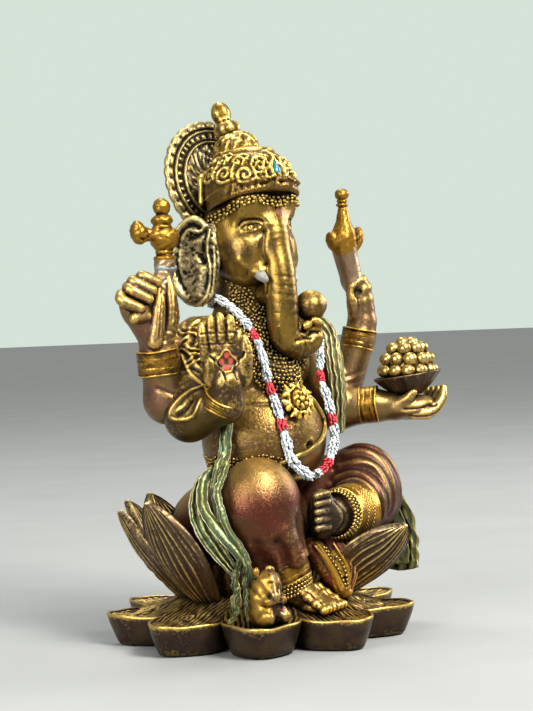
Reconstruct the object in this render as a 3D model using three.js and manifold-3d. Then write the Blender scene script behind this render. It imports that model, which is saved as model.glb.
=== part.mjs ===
// A seated elephant-headed deity on a lotus, a painted cold-cast figurine 92 mm tall.
// Millimetres, +Z up. The figure faces -Y, so its own left hand is at +X and its right hand at -X.
// The origin is the centre of the foot, on the surface that it stands on.
import * as THREE from "three";
import { mergeVertices } from "three/addons/utils/BufferGeometryUtils.js";
import Module from "manifold-3d";

const wasm = await Module();
wasm.setup();

// Driving dimensions
const GAP = 0.3; // glue line between two castings
const TOP = 92; // tip of the crown's bud
const FOOT_RADIUS = 26.5; // tips of the lower petals
const PAD_THICKNESS = 0.6;
const PAD_RADIUS = 14; // the pad sits in a shallow recess
const FOOT_CLEARANCE = 0.25; // underside of the lower petals above the floor
const PETALS = 9; // lower petals round the foot
const PETAL_STEP = 360 / PETALS;
const PLATE_TOP = 5.4; // rim of a lower petal
const SEAT_TOP = 14.2;
const ROD_RADIUS = 0.8;

// Colours of the finishes
const FINISHES = {
  bronze: { color: 0x6e5230, roughness: 0.42, metalness: 0.75 },
  gold: { color: 0xc9962a, roughness: 0.35, metalness: 0.85 },
  cloth: { color: 0x7a3d26, roughness: 0.45, metalness: 0.6 },
  verdigris: { color: 0x7c8a52, roughness: 0.5, metalness: 0.5 },
  garland: { color: 0xdfe3e0, roughness: 0.7, metalness: 0.0 },
  turquoise: { color: 0x0f8fa5, roughness: 0.3, metalness: 0.0 },
  steel: { color: 0x9a9a9a, roughness: 0.3, metalness: 1.0 },
  felt: { color: 0x1d1d1d, roughness: 0.95, metalness: 0.0 },
};

const at = (x, y, z) => new THREE.Vector3(x, y, z);
const UP = at(0, 1, 0); // the axis that three.js turns its lathes and cylinders about
const rad = THREE.MathUtils.degToRad;

// A closed three.js geometry as a manifold-3d solid.
function solidOf(geometry) {
  const bare = geometry.clone();
  bare.deleteAttribute("normal");
  bare.deleteAttribute("uv");
  const merged = mergeVertices(bare, 1e-4);
  const vertProperties = new Float32Array(merged.attributes.position.array);
  const triVerts = new Uint32Array(merged.index.array);
  const build = () => new wasm.Manifold(new wasm.Mesh({ numProp: 3, vertProperties, triVerts }));
  const made = build();
  if (made.volume() > 0) return made;
  for (let i = 0; i < triVerts.length; i += 3) {
    [triVerts[i + 1], triVerts[i + 2]] = [triVerts[i + 2], triVerts[i + 1]];
  }
  return build();
}

// Every maker below returns a function of grow, in mm: the same shape with its surface moved out that far.

function blob(centre, radii, turn = [0, 0, 0], sides = 8, rings = 6) {
  return (grow = 0) => {
    const ball = new THREE.SphereGeometry(1, sides, rings);
    ball.rotateX(Math.PI / 2);
    ball.scale(...radii.map((r) => r + grow));
    ball.applyQuaternion(new THREE.Quaternion().setFromEuler(new THREE.Euler(...turn.map(rad))));
    ball.translate(...centre);
    return solidOf(ball);
  };
}

// A straight limb from p to q, round, with ball ends.
function limb(p, q, radiusP, radiusQ = radiusP, sides = 8, arc = 2) {
  return (grow = 0) => {
    const start = at(...p);
    const along = at(...q).sub(start);
    const length = along.length();
    const profile = [];
    for (let i = 0; i <= arc; i++) {
      const a = (Math.PI / 2) * (1 - i / arc);
      profile.push(new THREE.Vector2((radiusP + grow) * Math.cos(a), -(radiusP + grow) * Math.sin(a)));
    }
    for (let i = 0; i <= arc; i++) {
      const a = (Math.PI / 2) * (i / arc);
      const round = radiusQ + grow;
      profile.push(new THREE.Vector2(round * Math.cos(a), length + round * Math.sin(a)));
    }
    profile[0].x = 0;
    profile[profile.length - 1].x = 0;
    const lathe = new THREE.LatheGeometry(profile, sides);
    lathe.applyQuaternion(new THREE.Quaternion().setFromUnitVectors(UP, along.normalize()));
    lathe.translate(start.x, start.y, start.z);
    return solidOf(lathe);
  };
}

// Straight limbs joined end to end, each joint being [x, y, z, radius].
function jointed(joints, sides = 8, arc = 2) {
  const bones = joints.slice(1).map((end, i) => {
    const start = joints[i];
    return limb(start.slice(0, 3), end.slice(0, 3), start[3], end[3], sides, arc);
  });
  return all(...bones);
}

// A round body that bends and tapers smoothly through points, each being [x, y, z, radius], with flat ends.
function horn(points, sides = 9, steps = 8) {
  const path = new THREE.CatmullRomCurve3(points.map(([x, y, z]) => at(x, y, z)));
  const girth = new THREE.SplineCurve(points.map((p, i) => new THREE.Vector2(i, p[3])));
  const frames = path.computeFrenetFrames(steps);
  return (grow = 0) => {
    const tube = new THREE.CylinderGeometry(1, 1, 1, sides, steps);
    const position = tube.attributes.position;
    for (let i = 0; i < position.count; i++) {
      const u = 0.5 - position.getY(i);
      const step = Math.round(u * steps);
      const radius = girth.getPoint(u).y + grow;
      const p = path.getPoint(u).addScaledVector(frames.normals[step], radius * position.getX(i));
      p.addScaledVector(frames.binormals[step], radius * position.getZ(i));
      p.addScaledVector(frames.tangents[step], step === 0 ? -grow : step === steps ? grow : 0);
      position.setXYZ(i, p.x, p.y, p.z);
    }
    return solidOf(tube);
  };
}

// A solid turned about an upright line through foot, leaning back by tilt degrees.
// profile is a list of [radius, height].
function turned(foot, profile, tilt = 0, lean = 0, sides = 16) {
  return (grow = 0) => {
    const points = profile.map(([r, h], i) => {
      const end = i === 0 ? -grow : i === profile.length - 1 ? grow : 0;
      return new THREE.Vector2(r === 0 ? 0 : r + grow, h + end);
    });
    const lathe = new THREE.LatheGeometry(points, sides);
    lathe.rotateX(Math.PI / 2);
    lathe.rotateX(-rad(tilt));
    lathe.rotateY(rad(lean));
    lathe.translate(...foot);
    return solidOf(lathe);
  };
}

// A round cord or flat strap swept along a smooth curve; half is [half width, half thickness].
function swept(points, half, sides = 8, steps = 24) {
  return (grow = 0) => {
    const section = new THREE.Shape();
    for (let i = 0; i < sides; i++) {
      const a = (2 * Math.PI * (i + 0.5)) / sides;
      const x = (half[0] + grow) * Math.cos(a);
      const y = (half[1] + grow) * Math.sin(a);
      if (i === 0) section.moveTo(x, y);
      else section.lineTo(x, y);
    }
    const path = new THREE.CatmullRomCurve3(points.map((p) => at(...p)));
    return solidOf(new THREE.ExtrudeGeometry(section, { steps, extrudePath: path, bevelEnabled: false }));
  };
}

// A box whose vertices are moved by shape(across, deep, along), each from -1 to 1, 0 to 1 and 0 to 1.
function moulded(across, along, shape) {
  const box = new THREE.BoxGeometry(2, 1, 1, across, 1, along);
  const position = box.attributes.position;
  for (let i = 0; i < position.count; i++) {
    const p = shape(position.getX(i), position.getY(i) + 0.5, position.getZ(i) + 0.5);
    position.setXYZ(i, p.x, p.y, p.z);
  }
  return solidOf(box);
}

function all(...makers) {
  return (grow = 0) => makers.map((make) => make(grow)).reduce((a, b) => a.add(b));
}

// Lotus

// The direction of a petal: degrees from the front, positive towards the figure's left hand.
const heading = (degrees) => at(Math.sin(rad(degrees)), -Math.cos(rad(degrees)), 0);

// A boat-shaped lower petal, with a hollowed top and sides that slope in towards the floor.
function lowerPetal(degrees) {
  const out = heading(degrees);
  const side = at(-out.y, out.x, 0);
  const root = PAD_RADIUS + GAP;
  return (grow = 0) =>
    moulded(4, 4, (v, deep, u) => {
      const half = 6.6 * Math.sqrt(Math.max(0.02, 1 - Math.pow(Math.max(0, (u - 0.45) / 0.57), 2.4)));
      const taper = 0.86 + 0.14 * deep;
      const reach = root + (FOOT_RADIUS + grow - root) * u * (0.84 + 0.16 * deep);
      const hollow = 1.3 * (1 - v * v) * Math.sin(Math.PI * u);
      const height = deep ? PLATE_TOP + grow - hollow : FOOT_CLEARANCE;
      const across = v * (half + grow) * taper * (0.8 + 0.2 * Math.sin(Math.PI * Math.min(1, u + 0.25)));
      return out.clone().multiplyScalar(reach).addScaledVector(side, across).setZ(height);
    });
}

// An upright petal, cupped towards the seat, that curves out from root to tip; both are [radius, height].
// It swells from its root, narrows to a point, and is turned about its spine by twist degrees.
function upperPetal(degrees, root, elbow, tip, halfWidth, thickness, twist) {
  const out = heading(degrees);
  const side = at(-out.y, out.x, 0);
  const turn = rad(twist);
  const spine = new THREE.QuadraticBezierCurve(
    new THREE.Vector2(...root),
    new THREE.Vector2(...elbow),
    new THREE.Vector2(...tip),
  );
  return (grow = 0) =>
    moulded(4, 6, (v, deep, u) => {
      const on = spine.getPoint(u);
      const tangent = spine.getTangent(u);
      const swell = Math.sin((Math.PI / 2) * Math.min(1, 0.35 + u / 0.75));
      const past = Math.max(0, (u - 0.42) / 0.58);
      const taper = Math.pow(Math.max(0, 1 - Math.pow(past, 2.3)), 0.86);
      const half = halfWidth * Math.max(0.09, swell * taper);
      const cup = 1.9 * v * v * (half / halfWidth);
      const flat = (thickness * (1 - 0.55 * v * v) + 2 * grow) * (deep - 0.5) + cup;
      const wide = v * (half + grow);
      const thick = flat * Math.cos(turn) - wide * Math.sin(turn);
      const across = wide * Math.cos(turn) + flat * Math.sin(turn);
      const reach = on.x - tangent.y * thick + (u === 1 ? grow : 0) * tangent.x;
      const height = on.y + tangent.x * thick + (u === 1 ? grow : 0) * tangent.y;
      return out.clone().multiplyScalar(reach).addScaledVector(side, across).setZ(height);
    });
}

const PAD_SEAT = PAD_THICKNESS + GAP;
const lotusCore = turned(
  [0, 0, 0],
  [[0, PAD_SEAT], [16, PAD_SEAT], [16, 4.2], [11.5, 6.2], [0, 6.2]],
  0, 0, 18,
);
const lowerAngles = Array.from({ length: PETALS }, (_, i) => i * PETAL_STEP);
const lotusBase = all(lotusCore, ...lowerAngles.map(lowerPetal));
const feltPad = turned(
  [0, 0, 0],
  [[0, 0], [PAD_RADIUS, 0], [PAD_RADIUS, PAD_THICKNESS], [0, PAD_THICKNESS]],
  0, 0, 24,
);
const seatPod = turned(
  [0, 1.8, 0],
  [[0, 6.5], [9.4, 6.5], [11.6, 9.5], [12, 12.4], [11.4, SEAT_TOP], [0, SEAT_TOP]],
);
// Each upright petal: its direction, its reach, its height at the tip, and its twist. The front is left open
// for the leg and the mouse, and the petal beside that gap is turned towards it.
const OUTER_PETALS = [
  [35, 25.9, 19, 32], [80, 24, 19.8, 0], [120, 24, 22, 0], [160, 24, 23.5, 0], [200, 22.2, 24.2, 0],
  [240, 23.8, 22.8, 0], [272, 24, 25.3, 0],
];
const INNER_PETALS = [
  [100, 21.4, 22.6], [140, 21.4, 24], [180, 21, 22.6], [222, 22.9, 23.8], [257, 20.4, 24.2],
];
const outerPetals = OUTER_PETALS.map(([degrees, reach, height, twist]) =>
  upperPetal(degrees, [12.6, 6.9], [0.85 * reach, 8.6 + 0.22 * height], [reach, height], 6.8, 1.1, twist),
);
const innerPetals = INNER_PETALS.map(([degrees, reach, height]) =>
  upperPetal(degrees, [13.2, 10.2], [0.84 * reach, 12.3 + 0.08 * height], [reach, height], 6, 1, 0),
);

// Body

const torso = all(
  blob([0, 2.5, 20.5], [12.5, 10, 7], [0, 0, 0], 12, 6),
  blob([0, -2.6, 34], [10.8, 10.4, 10.6], [0, 0, 0], 14, 9),
  blob([0, 1.6, 46], [10.6, 7.4, 9], [0, 0, 0], 12, 7),
  limb([-10, 1.8, 51], [10, 1.8, 51], 4.3),
  limb([0, 1.2, 52], [0, 0.8, 61], 5.6, 5.4),
);
const rightLeg = all(
  limb([-8, 2, 20], [-8, -8.5, 23], 7, 7),
  blob([-8, -10.2, 23.4], [7.2, 6.8, 8.3], [0, 0, 0], 12, 8),
  limb([-7.2, -11.2, 19], [-4.8, -12.8, 12.4], 6, 3.4),
);
const leftLeg = all(
  limb([7, 2.5, 21], [17.6, -5.6, 24.4], 7, 6.6),
  blob([18.8, -6.8, 24.2], [6.6, 6.2, 7.7], [0, 0, 0], 10, 7),
  limb([18, -8, 22.4], [7.8, -13.4, 20.6], 6, 4.2),
);
const rightFoot = all(
  limb([-4.4, -12.9, 11.6], [-3.6, -14, 9], 2.9, 2.9),
  horn([[-3.6, -13, 9, 2.8], [-1.6, -17.6, 7.3, 2.6], [-0.6, -20.8, 6.6, 1.6]], 9, 4),
  limb([-2.6, -18.6, 6.7], [0.9, -17.6, 6.7], 1.6),
);
const leftFoot = all(
  limb([8, -13.6, 20.6], [4.2, -14.4, 21], 3.2, 3.2),
  blob([1.8, -14.8, 21.6], [2.6, 2.3, 4.2]),
);

// Head

const head = all(
  blob([0, 0, 68.8], [7.6, 7.9, 9.6], [0, 0, 0], 14, 9),
  blob([-3.1, -4.6, 74], [3.4, 3.5, 3.6]),
  blob([3.1, -4.6, 74], [3.4, 3.5, 3.6]),
  blob([-3, -3, 63.6], [3.6, 3.8, 4.4]),
  blob([2.8, -3, 63.6], [3.2, 3.6, 4.4]),
  horn([
    [0, -3.6, 73.6, 3.7],
    [0, -6.2, 69.5, 3.2],
    [0, -7.1, 66, 2.9],
    [0, -8.2, 62, 2.75],
    [0, -8.7, 57.6, 2.7],
    [0.1, -8.7, 53.2, 2.65],
    [0.8, -8.8, 50.8, 2.5],
    [3, -9.2, 49.8, 2.4],
    [5.2, -9.7, 50.7, 2.1],
    [5.4, -9.8, 52.6, 1.8],
  ], 8, 13),
);
const trunkSweet = blob([5.6, -9.6, 56.6], [2.6, 2.5, 2.6], [0, 0, 0], 10, 7);
const tusk = (side, length) => limb([side * 3.2, -5.4, 62.8], [side * 3.7, -5.4 - length, 61.4], 1, 0.7);
const ear = (side) => all(
  blob([side * 10.1, 2.5, 65.2], [4.6, 1.2, 6.6], [0, 0, side * 55]),
  blob([side * 9.4, 1.8, 60], [2.6, 1.1, 3.4], [0, 0, side * 55]),
);

// Crown

const crown = blob([0, -1.3, 76.2], [7.9, 7.9, 8], [0, 0, 0], 16, 10);
// The space below the brim, where the brow is.
const crownBelow = turned([0, -8, 74.4], [[0, -14], [24, -14], [24, 0], [0, 0]], 16, 0, 12);
const topknot = blob([0, 2.4, 84.2], [3.9, 3.9, 3.4], [-24, 0, 0], 12, 8);
const finial = turned(
  [0, 4, TOP - 5.1],
  [[0, 0], [2.1, 0.2], [2.1, 1.2], [1.3, 1.9], [1.2, 2.3], [1.6, 3.2], [1.5, 4.4], [0.8, 5.5], [0, 5.9]],
  27, 0, 9,
);
const halo = turned([0, 7.9, 78.6], [[0, -0.8], [9.5, -0.8], [10.7, 0], [9.5, 0.8], [0, 0.8]], 102, 0, 20);
const crownJewel = blob([0, -8.6, 79.4], [1.3, 0.9, 1.8], [-24, 0, 0]);

// Arms and hands

const SHOULDER = { x: 11.5, y: 2, z: 50.6 };
const RIGHT_SHAFT = [[-19.4, 0.3, 56], [-17.9, 0.3, 65]];
const LEFT_SHAFT = [[24, -1.4, 57.5], [22.4, -0.6, 65]];
const rearRightArm = all(
  jointed([
    [-SHOULDER.x, SHOULDER.y, SHOULDER.z, 3.6],
    [-17.4, 1.2, 41.6, 3.9],
    [-19.3, 0.4, 49, 3],
    [-19.2, 0.3, 52, 2.3],
  ]),
  blob([-19.3, 0.5, 56.2], [2.6, 2.3, 4.8], [0, 8, 0]),
  blob([-23.4, 0.2, 58], [3.3, 2.4, 3.6]),
  limb([-22.8, -0.4, 61], [-26.6, -1, 59], 1.3, 1.1, 7, 1),
  limb([-22.8, -1, 55.8], [-25.6, -1.2, 55.6], 1.2, 1, 7, 1),
);
const rearLeftArm = all(
  jointed([
    [SHOULDER.x, SHOULDER.y, SHOULDER.z, 3.6],
    [20.2, 0.4, 39.8, 3.6],
    [23.8, -1.6, 50, 2.9],
    [24.4, -1.7, 53, 2.3],
  ]),
  blob([23.9, -1.6, 56.6], [2.3, 2.1, 4.6], [0, -8, 0]),
  limb([24.4, -2, 59.4], [24.6, -2.8, 61.6], 1.2, 1, 7, 1),
  limb([22.8, -2.4, 58.6], [23.6, -3.4, 60.2], 1.1, 0.9, 7, 1),
);
const PALM = [-14.8, -11.2, 47.8];
const fingerX = [-2.9, -1.05, 0.8, 2.6];
const fingerTop = [6.9, 8.3, 8.7, 7.5];
const palmTurn = -24;
const inPalm = (x, y, z) => {
  const p = at(x, y, z).applyAxisAngle(at(0, 0, 1), rad(palmTurn));
  return [PALM[0] + p.x, PALM[1] + p.y, PALM[2] + p.z];
};
const frontRightArm = all(
  jointed([
    [-SHOULDER.x - 0.6, 0.2, 48.5, 3.8],
    [-16.2, -3, 38.6, 4],
    [-14.2, -10.3, 40.8, 2.9],
    [...inPalm(0, 0, -3.4), 2.7],
  ]),
  blob(inPalm(0, 0, 0.2), [3.8, 1.5, 4.4], [0, 0, palmTurn]),
  ...fingerX.map((x, i) => limb(inPalm(x, 0, 2), inPalm(x * 0.96, 0.3, fingerTop[i]), 1, 0.8, 6, 1)),
  limb(inPalm(3.4, -0.4, -1.5), inPalm(4.4, -0.5, 3.6), 1.1, 0.85, 6, 1),
);
const BOWL = [25.6, -12, 42.4];
const frontLeftArm = all(
  jointed([
    [SHOULDER.x + 0.8, 0.4, 48.5, 3.8],
    [16.8, -2.6, 38.2, 3.9],
    [20.8, -8, 38.4, 2.8],
    [23.2, -10.6, 38.2, 2.6],
  ]),
  blob([25.8, -12.8, 38.2], [4.2, 3.2, 2.1], [0, -8, -30]),
  ...[0, 1, 2, 3].map((i) =>
    limb([27.4 + 0.6 * i, -15 + 1.4 * i, 37.8], [29.8 + 0.5 * i, -16.2 + 1.6 * i, 40.6], 1.15, 0.9, 6, 1),
  ),
);

// What the hands hold

const goad = all(
  limb(...RIGHT_SHAFT, 1.1, 1.1, 8, 1),
  turned(
    [-17.9, 0.3, 63.2],
    [[0, 0], [1.9, 0.2], [1.6, 1.2], [1.5, 1.9], [2.4, 3.2], [2.5, 4.6], [1.9, 5.9], [1.1, 6.3], [1.8, 7.3],
      [1.6, 8.4], [0.9, 9], [1.5, 10.2], [1.2, 11.5], [0, 12.3]],
    0, 0, 8,
  ),
  limb([-17.9, 0.3, 67.6], [-22, 0.4, 68.6], 1, 1, 6, 1),
  blob([-22.4, 0.4, 68.4], [1.6, 1.6, 1.9], [0, 0, 0], 8, 4),
);
const lotusStaff = all(
  limb(...LEFT_SHAFT, 1.3, 1.5, 8, 1),
  turned(
    [22.5, -0.6, 64.6],
    [[0, 0], [1.7, 0.2], [3, 2.4], [3, 4], [2, 6.2], [1.2, 8.2], [1.3, 9], [1, 9.6],
      [1.5, 10.6], [1.2, 11.9],
      [0, 12.3]],
    4, -6, 8,
  ),
);
const bowl = turned(BOWL, [[0, -2.4], [2.2, -2.4], [4.6, -1], [5.8, 0.8], [5.5, 1.2], [0, 1.2]], 0, -5, 16);
const SWEET_TIERS = [
  { count: 9, ring: 4.2, height: 2.1 },
  { count: 7, ring: 3.2, height: 4.2 },
  { count: 3, ring: 1.5, height: 6.3 },
];
const sweetHeap = all(
  turned(BOWL, [[0, 0.6], [4.8, 0.6], [4.6, 2.6], [2.8, 5.6], [0, 6.8]], 0, 0, 9),
  ...SWEET_TIERS.flatMap(({ count, ring, height }) =>
    Array.from({ length: count }, (_, i) => {
      const a = (2 * Math.PI * (i + 0.5 * height)) / count;
      const centre = [BOWL[0] + ring * Math.cos(a), BOWL[1] + ring * Math.sin(a), BOWL[2] + height];
      return blob(centre, [1.4, 1.4, 1.4], [0, 0, 0], 6, 4);
    }),
  ),
);

// Dress and ornament

const band = (p, q, radius) => limb(p, q, radius, radius, 10, 1);
const wristBands = {
  rear_right_bracelet: [band([-18.9, 0.6, 47.2], [-19.2, 0.5, 48.6], 3.7), rearRightArm],
  rear_left_bracelet: [band([23.5, -1.5, 49.2], [23.9, -1.6, 50.6], 3.5), rearLeftArm],
  front_right_bracelet: [band([-14.3, -9.6, 40.6], [-14.2, -10.5, 41.3], 3.6), frontRightArm],
  front_left_bracelet: [band([20, -7.2, 38.8], [20.6, -7.8, 38.9], 3.4), frontLeftArm],
};
const rightAnklet = band([-5, -12.6, 13], [-4.4, -13, 11.4], 4);
const leftAnklet = band([9.6, -12.8, 20.8], [7.4, -13.6, 20.8], 4.8);
const mirrored = (points) => points.map(([x, y, z]) => [-x, y, z]);
const garlandRight = [
  [1, 6.6, 57.4], [-5.4, 4.2, 57.2], [-7.8, -1.4, 54.8], [-6.2, -7, 50], [-4.6, -10, 45], [-3.4, -13, 38],
  [-2.8, -13.7, 31], [0.5, -13, 25.6],
];
const garlandLeft = [
  [-1, 6.6, 57.4], [5.4, 4.2, 57.2], [8.4, -1.2, 54.6], [9, -6.4, 49.6], [8, -9.4, 43], [8.6, -11.2, 36],
  [6.6, -12.2, 29.6], [-0.5, -13, 25.6],
];
const garland = all(swept(garlandRight, [1.1, 1.1], 6, 18), swept(garlandLeft, [1.1, 1.1], 6, 18));
const beadCollar = all(
  blob([0, 0.4, 50.6], [9.6, 7.6, 6.4], [18, 0, 0], 12, 7),
  blob([0, -2.4, 43.6], [5.8, 7.6, 6.6], [0, 0, 0], 10, 6),
);
const sunPendant = turned(
  [-0.6, -12.5, 40.6],
  [[0, -0.7], [2.9, -0.7], [3.4, 0], [2.4, 0.7], [0, 0.9]],
  -70, 0, 14,
);
const bellyCord = swept(
  [[5.4, -11, 42], [6.6, -11.5, 37], [4.6, -12.6, 31.6], [0, -12.9, 28.6], [-5, -11.6, 27.2],
    [-9, -8, 26.6]],
  [0.8, 0.8], 6, 12,
);
const rightScarf = swept(
  [[-11, -5.4, 37], [-13.4, -5, 32], [-15.4, -5.2, 26.5], [-15.6, -6, 21.6], [-13.8, -8.6, 16.8],
    [-12.4, -10.4, 12.8], [-12, -11.6, 9], [-12, -12.6, 6.2]],
  [1.9, 1.1], 6, 14,
);
const leftShawl = swept(
  [[9.6, 5.5, 51], [13, 0, 54.6], [14.2, -4, 51.6], [12.6, -6.4, 46], [12.6, -7, 40], [11.4, -5.6, 32]],
  [2.4, 0.9], 6, 12,
);
const scarfTail = horn(
  [[24.2, -7.6, 20.6, 2.4], [26.2, -7.6, 18, 2.6], [26.8, -7.8, 13.6, 2.4], [26, -8, 9.4, 1.8]], 8, 6,
);
const apron = all(
  horn([[6, -11.6, 16.4, 3.2], [6.8, -13.6, 12, 3], [6.2, -14.4, 8, 1.6]], 8, 5),
  horn([[10.2, -10.8, 16.8, 2.8], [8.4, -12.6, 12.4, 2.1], [6.8, -13.8, 8.8, 1.2]], 8, 5),
);
const mouse = all(
  blob([-13, -16.6, 8.8], [3, 3.4, 3.6]),
  blob([-13.4, -18.4, 12.6], [2.3, 2.6, 2.5]),
  limb([-13.5, -19.8, 12.6], [-13.8, -21.6, 11.6], 1.4, 0.8, 7, 1),
  blob([-15.2, -17.2, 14.4], [1.2, 0.6, 1.4], [0, 0, 30], 7, 4),
  blob([-11.4, -17.4, 14.4], [1.2, 0.6, 1.4], [0, 0, -30], 7, 4),
  limb([-12, -19.2, 9.4], [-12.6, -21, 10.6], 0.9, 0.7, 6, 1),
);

// Steel pins that line the castings up while the glue sets.
const pin = (x, y, low, high) =>
  turned([x, y, low], [[0, 0], [ROD_RADIUS, 0], [ROD_RADIUS, high - low], [0, high - low]], 0, 0, 10);
const seatPin = pin(0, 2.5, 3, 22);
const neckPin = pin(0, 1, 52, 66);

// Assembly: each casting is cut back to clear the ones that it seats against.
const figure = new THREE.Group();

function fit(name, finish, maker, seatsAgainst = []) {
  let casting = maker();
  for (const neighbour of seatsAgainst) casting = casting.subtract(neighbour(GAP));
  const [largest] = casting.decompose().sort((a, b) => b.volume() - a.volume());
  const { numProp, numVert, vertProperties, triVerts } = largest.getMesh();
  const position = new Float32Array(numVert * 3);
  for (let i = 0; i < numVert; i++) {
    position.set(vertProperties.subarray(i * numProp, i * numProp + 3), i * 3);
  }
  const geometry = new THREE.BufferGeometry();
  geometry.setAttribute("position", new THREE.BufferAttribute(position, 3));
  geometry.setIndex(new THREE.BufferAttribute(triVerts, 1));
  const mesh = new THREE.Mesh(geometry, new THREE.MeshStandardMaterial(FINISHES[finish]));
  mesh.name = name;
  figure.add(mesh);
}

const legs = [rightLeg, leftLeg];
const arms = [rearRightArm, frontRightArm, rearLeftArm, frontLeftArm];
const trunkAndHead = [head, ear(-1), ear(1)];

fit("felt_pad", "felt", feltPad);
fit("lotus_base", "bronze", lotusBase, [seatPin]);
fit("seat_pod", "bronze", seatPod, [lotusCore, seatPin]);
fit("seat_pin", "steel", seatPin);
fit("neck_pin", "steel", neckPin);
fit("torso", "bronze", torso, [seatPod, seatPin, neckPin]);
fit("right_leg", "cloth", rightLeg, [torso, seatPod]);
fit("left_leg", "cloth", leftLeg, [torso, seatPod, rightLeg]);
fit("right_foot", "bronze", rightFoot, [rightLeg, lotusBase, seatPod]);
fit("left_foot", "bronze", leftFoot, [leftLeg, rightLeg, torso]);
fit("head", "bronze", head, [torso, neckPin]);
fit("trunk_sweet", "bronze", trunkSweet, [head, torso]);
fit("right_tusk", "bronze", tusk(-1, 3.4), [head]);
fit("left_tusk", "bronze", tusk(1, 2), [head]); // the broken one
fit("right_ear", "bronze", ear(-1), [head, torso]);
fit("left_ear", "bronze", ear(1), [head, torso]);
fit("crown", "gold", crown, [crownBelow, ...trunkAndHead]);
fit("crown_topknot", "gold", topknot, [crown]);
fit("crown_finial", "gold", finial, [topknot, crown]);
fit("crown_jewel", "turquoise", crownJewel, [crown]);
fit("halo", "bronze", halo, [crown, topknot, finial, ...trunkAndHead]);
fit("rear_right_arm", "bronze", rearRightArm, [torso, goad]);
fit("front_right_arm", "bronze", frontRightArm, [torso, rearRightArm, rightLeg]);
fit("rear_left_arm", "bronze", rearLeftArm, [torso, lotusStaff]);
fit("front_left_arm", "bronze", frontLeftArm, [torso, rearLeftArm, bowl, leftLeg]);
fit("elephant_goad", "gold", goad);
fit("lotus_staff", "gold", lotusStaff);
fit("sweet_bowl", "bronze", bowl);
fit("sweet_heap", "bronze", sweetHeap, [bowl]);
for (const [name, [ring, arm]] of Object.entries(wristBands)) {
  fit(name, "gold", ring, [arm, torso, ...arms.filter((other) => other !== arm)]);
}
fit("right_anklet", "gold", rightAnklet, [rightLeg, rightFoot, seatPod]);
fit("left_anklet", "gold", leftAnklet, [leftLeg, leftFoot, rightLeg, torso]);
fit("sun_pendant", "gold", sunPendant, [torso]);
fit("garland", "garland", garland, [torso, sunPendant, trunkSweet, ...trunkAndHead, ...arms, ...legs]);
const besideCollar = [torso, garland, sunPendant, trunkSweet, ...trunkAndHead, ...arms];
fit("bead_collar", "bronze", beadCollar, besideCollar);
fit("belly_cord", "bronze", bellyCord, [torso, garland, sunPendant, beadCollar, ...legs]);
fit("left_shawl", "verdigris", leftShawl, [torso, garland, beadCollar, ...arms, leftLeg]);
fit("right_scarf", "verdigris", rightScarf, [torso, rightLeg, seatPod, lotusBase, ...arms]);
fit("scarf_tail", "verdigris", scarfTail, [leftLeg, torso, seatPod, lotusBase]);
const besideApron = [rightFoot, leftAnklet, leftFoot, rightAnklet];
fit("apron", "cloth", apron, [...legs, torso, seatPod, lotusBase, ...besideApron]);
fit("mouse", "gold", mouse, [rightScarf, lotusBase, rightLeg, rightFoot]);
const besidePetals = [...legs, torso, seatPod, lotusCore, rightScarf, scarfTail, apron, mouse];
outerPetals.forEach((petal, i) => {
  fit(`outer_petal_${i + 1}`, "bronze", petal, [...besidePetals, ...outerPetals.slice(0, i)]);
});
innerPetals.forEach((petal, i) => {
  const placed = [...outerPetals, ...innerPetals.slice(0, i)];
  fit(`inner_petal_${i + 1}`, "bronze", petal, [...besidePetals, ...placed]);
});

export default figure;
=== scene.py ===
"""Looks for the seated elephant-headed deity: a mini cold-cast figurine in antiqued bronze and gold.

Every piece is modelled in millimetres in the CAD frame (+Z up, the figure faces -Y, its own left is +X) and
turned into metres when its mesh is made. The carved pieces are clay: signed distance fields, added to, cut
and scored as a sculptor would, and then meshed. The rest are turned, swept or laid out petal by petal.
"""

import math
from concurrent.futures import ThreadPoolExecutor

import bmesh
import bpy
import numpy as np
import openvdb
from mathutils import Euler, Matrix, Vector


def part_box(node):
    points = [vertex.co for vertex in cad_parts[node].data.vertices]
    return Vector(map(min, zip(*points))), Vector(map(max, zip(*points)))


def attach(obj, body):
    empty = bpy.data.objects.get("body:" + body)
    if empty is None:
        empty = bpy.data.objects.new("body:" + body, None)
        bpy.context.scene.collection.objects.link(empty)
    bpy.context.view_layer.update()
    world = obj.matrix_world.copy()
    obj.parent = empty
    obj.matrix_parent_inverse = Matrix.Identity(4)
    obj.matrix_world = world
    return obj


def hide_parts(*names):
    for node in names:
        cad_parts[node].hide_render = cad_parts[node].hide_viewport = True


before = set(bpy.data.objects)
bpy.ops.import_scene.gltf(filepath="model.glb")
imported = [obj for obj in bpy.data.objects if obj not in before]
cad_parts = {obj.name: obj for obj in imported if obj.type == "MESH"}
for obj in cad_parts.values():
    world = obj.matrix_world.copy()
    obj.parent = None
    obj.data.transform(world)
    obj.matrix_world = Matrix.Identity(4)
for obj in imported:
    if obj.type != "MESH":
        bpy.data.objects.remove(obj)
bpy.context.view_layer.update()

MM = 0.001
BLOCK = 8  # samples along each side of a block that is worked out together
HALF_DIAGONAL = 0.87  # of a block whose side is 1
SLACK = 0.9  # mm that softened joints may move the skin past its shapes
MARGIN = 2.5  # mm round a block within which shapes still count
FAR = 50.0  # mm, further than any point is from its nearest shape
rng = np.random.default_rng(7)


# ---------------------------------------------------------------- places in the frame


def low(node):
    """The lowest corner of a CAD node's box, in mm."""
    return np.array(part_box(node)[0]) / MM


def high(node):
    """The highest corner of a CAD node's box, in mm."""
    return np.array(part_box(node)[1]) / MM


def middle(node):
    return (low(node) + high(node)) / 2


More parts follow.
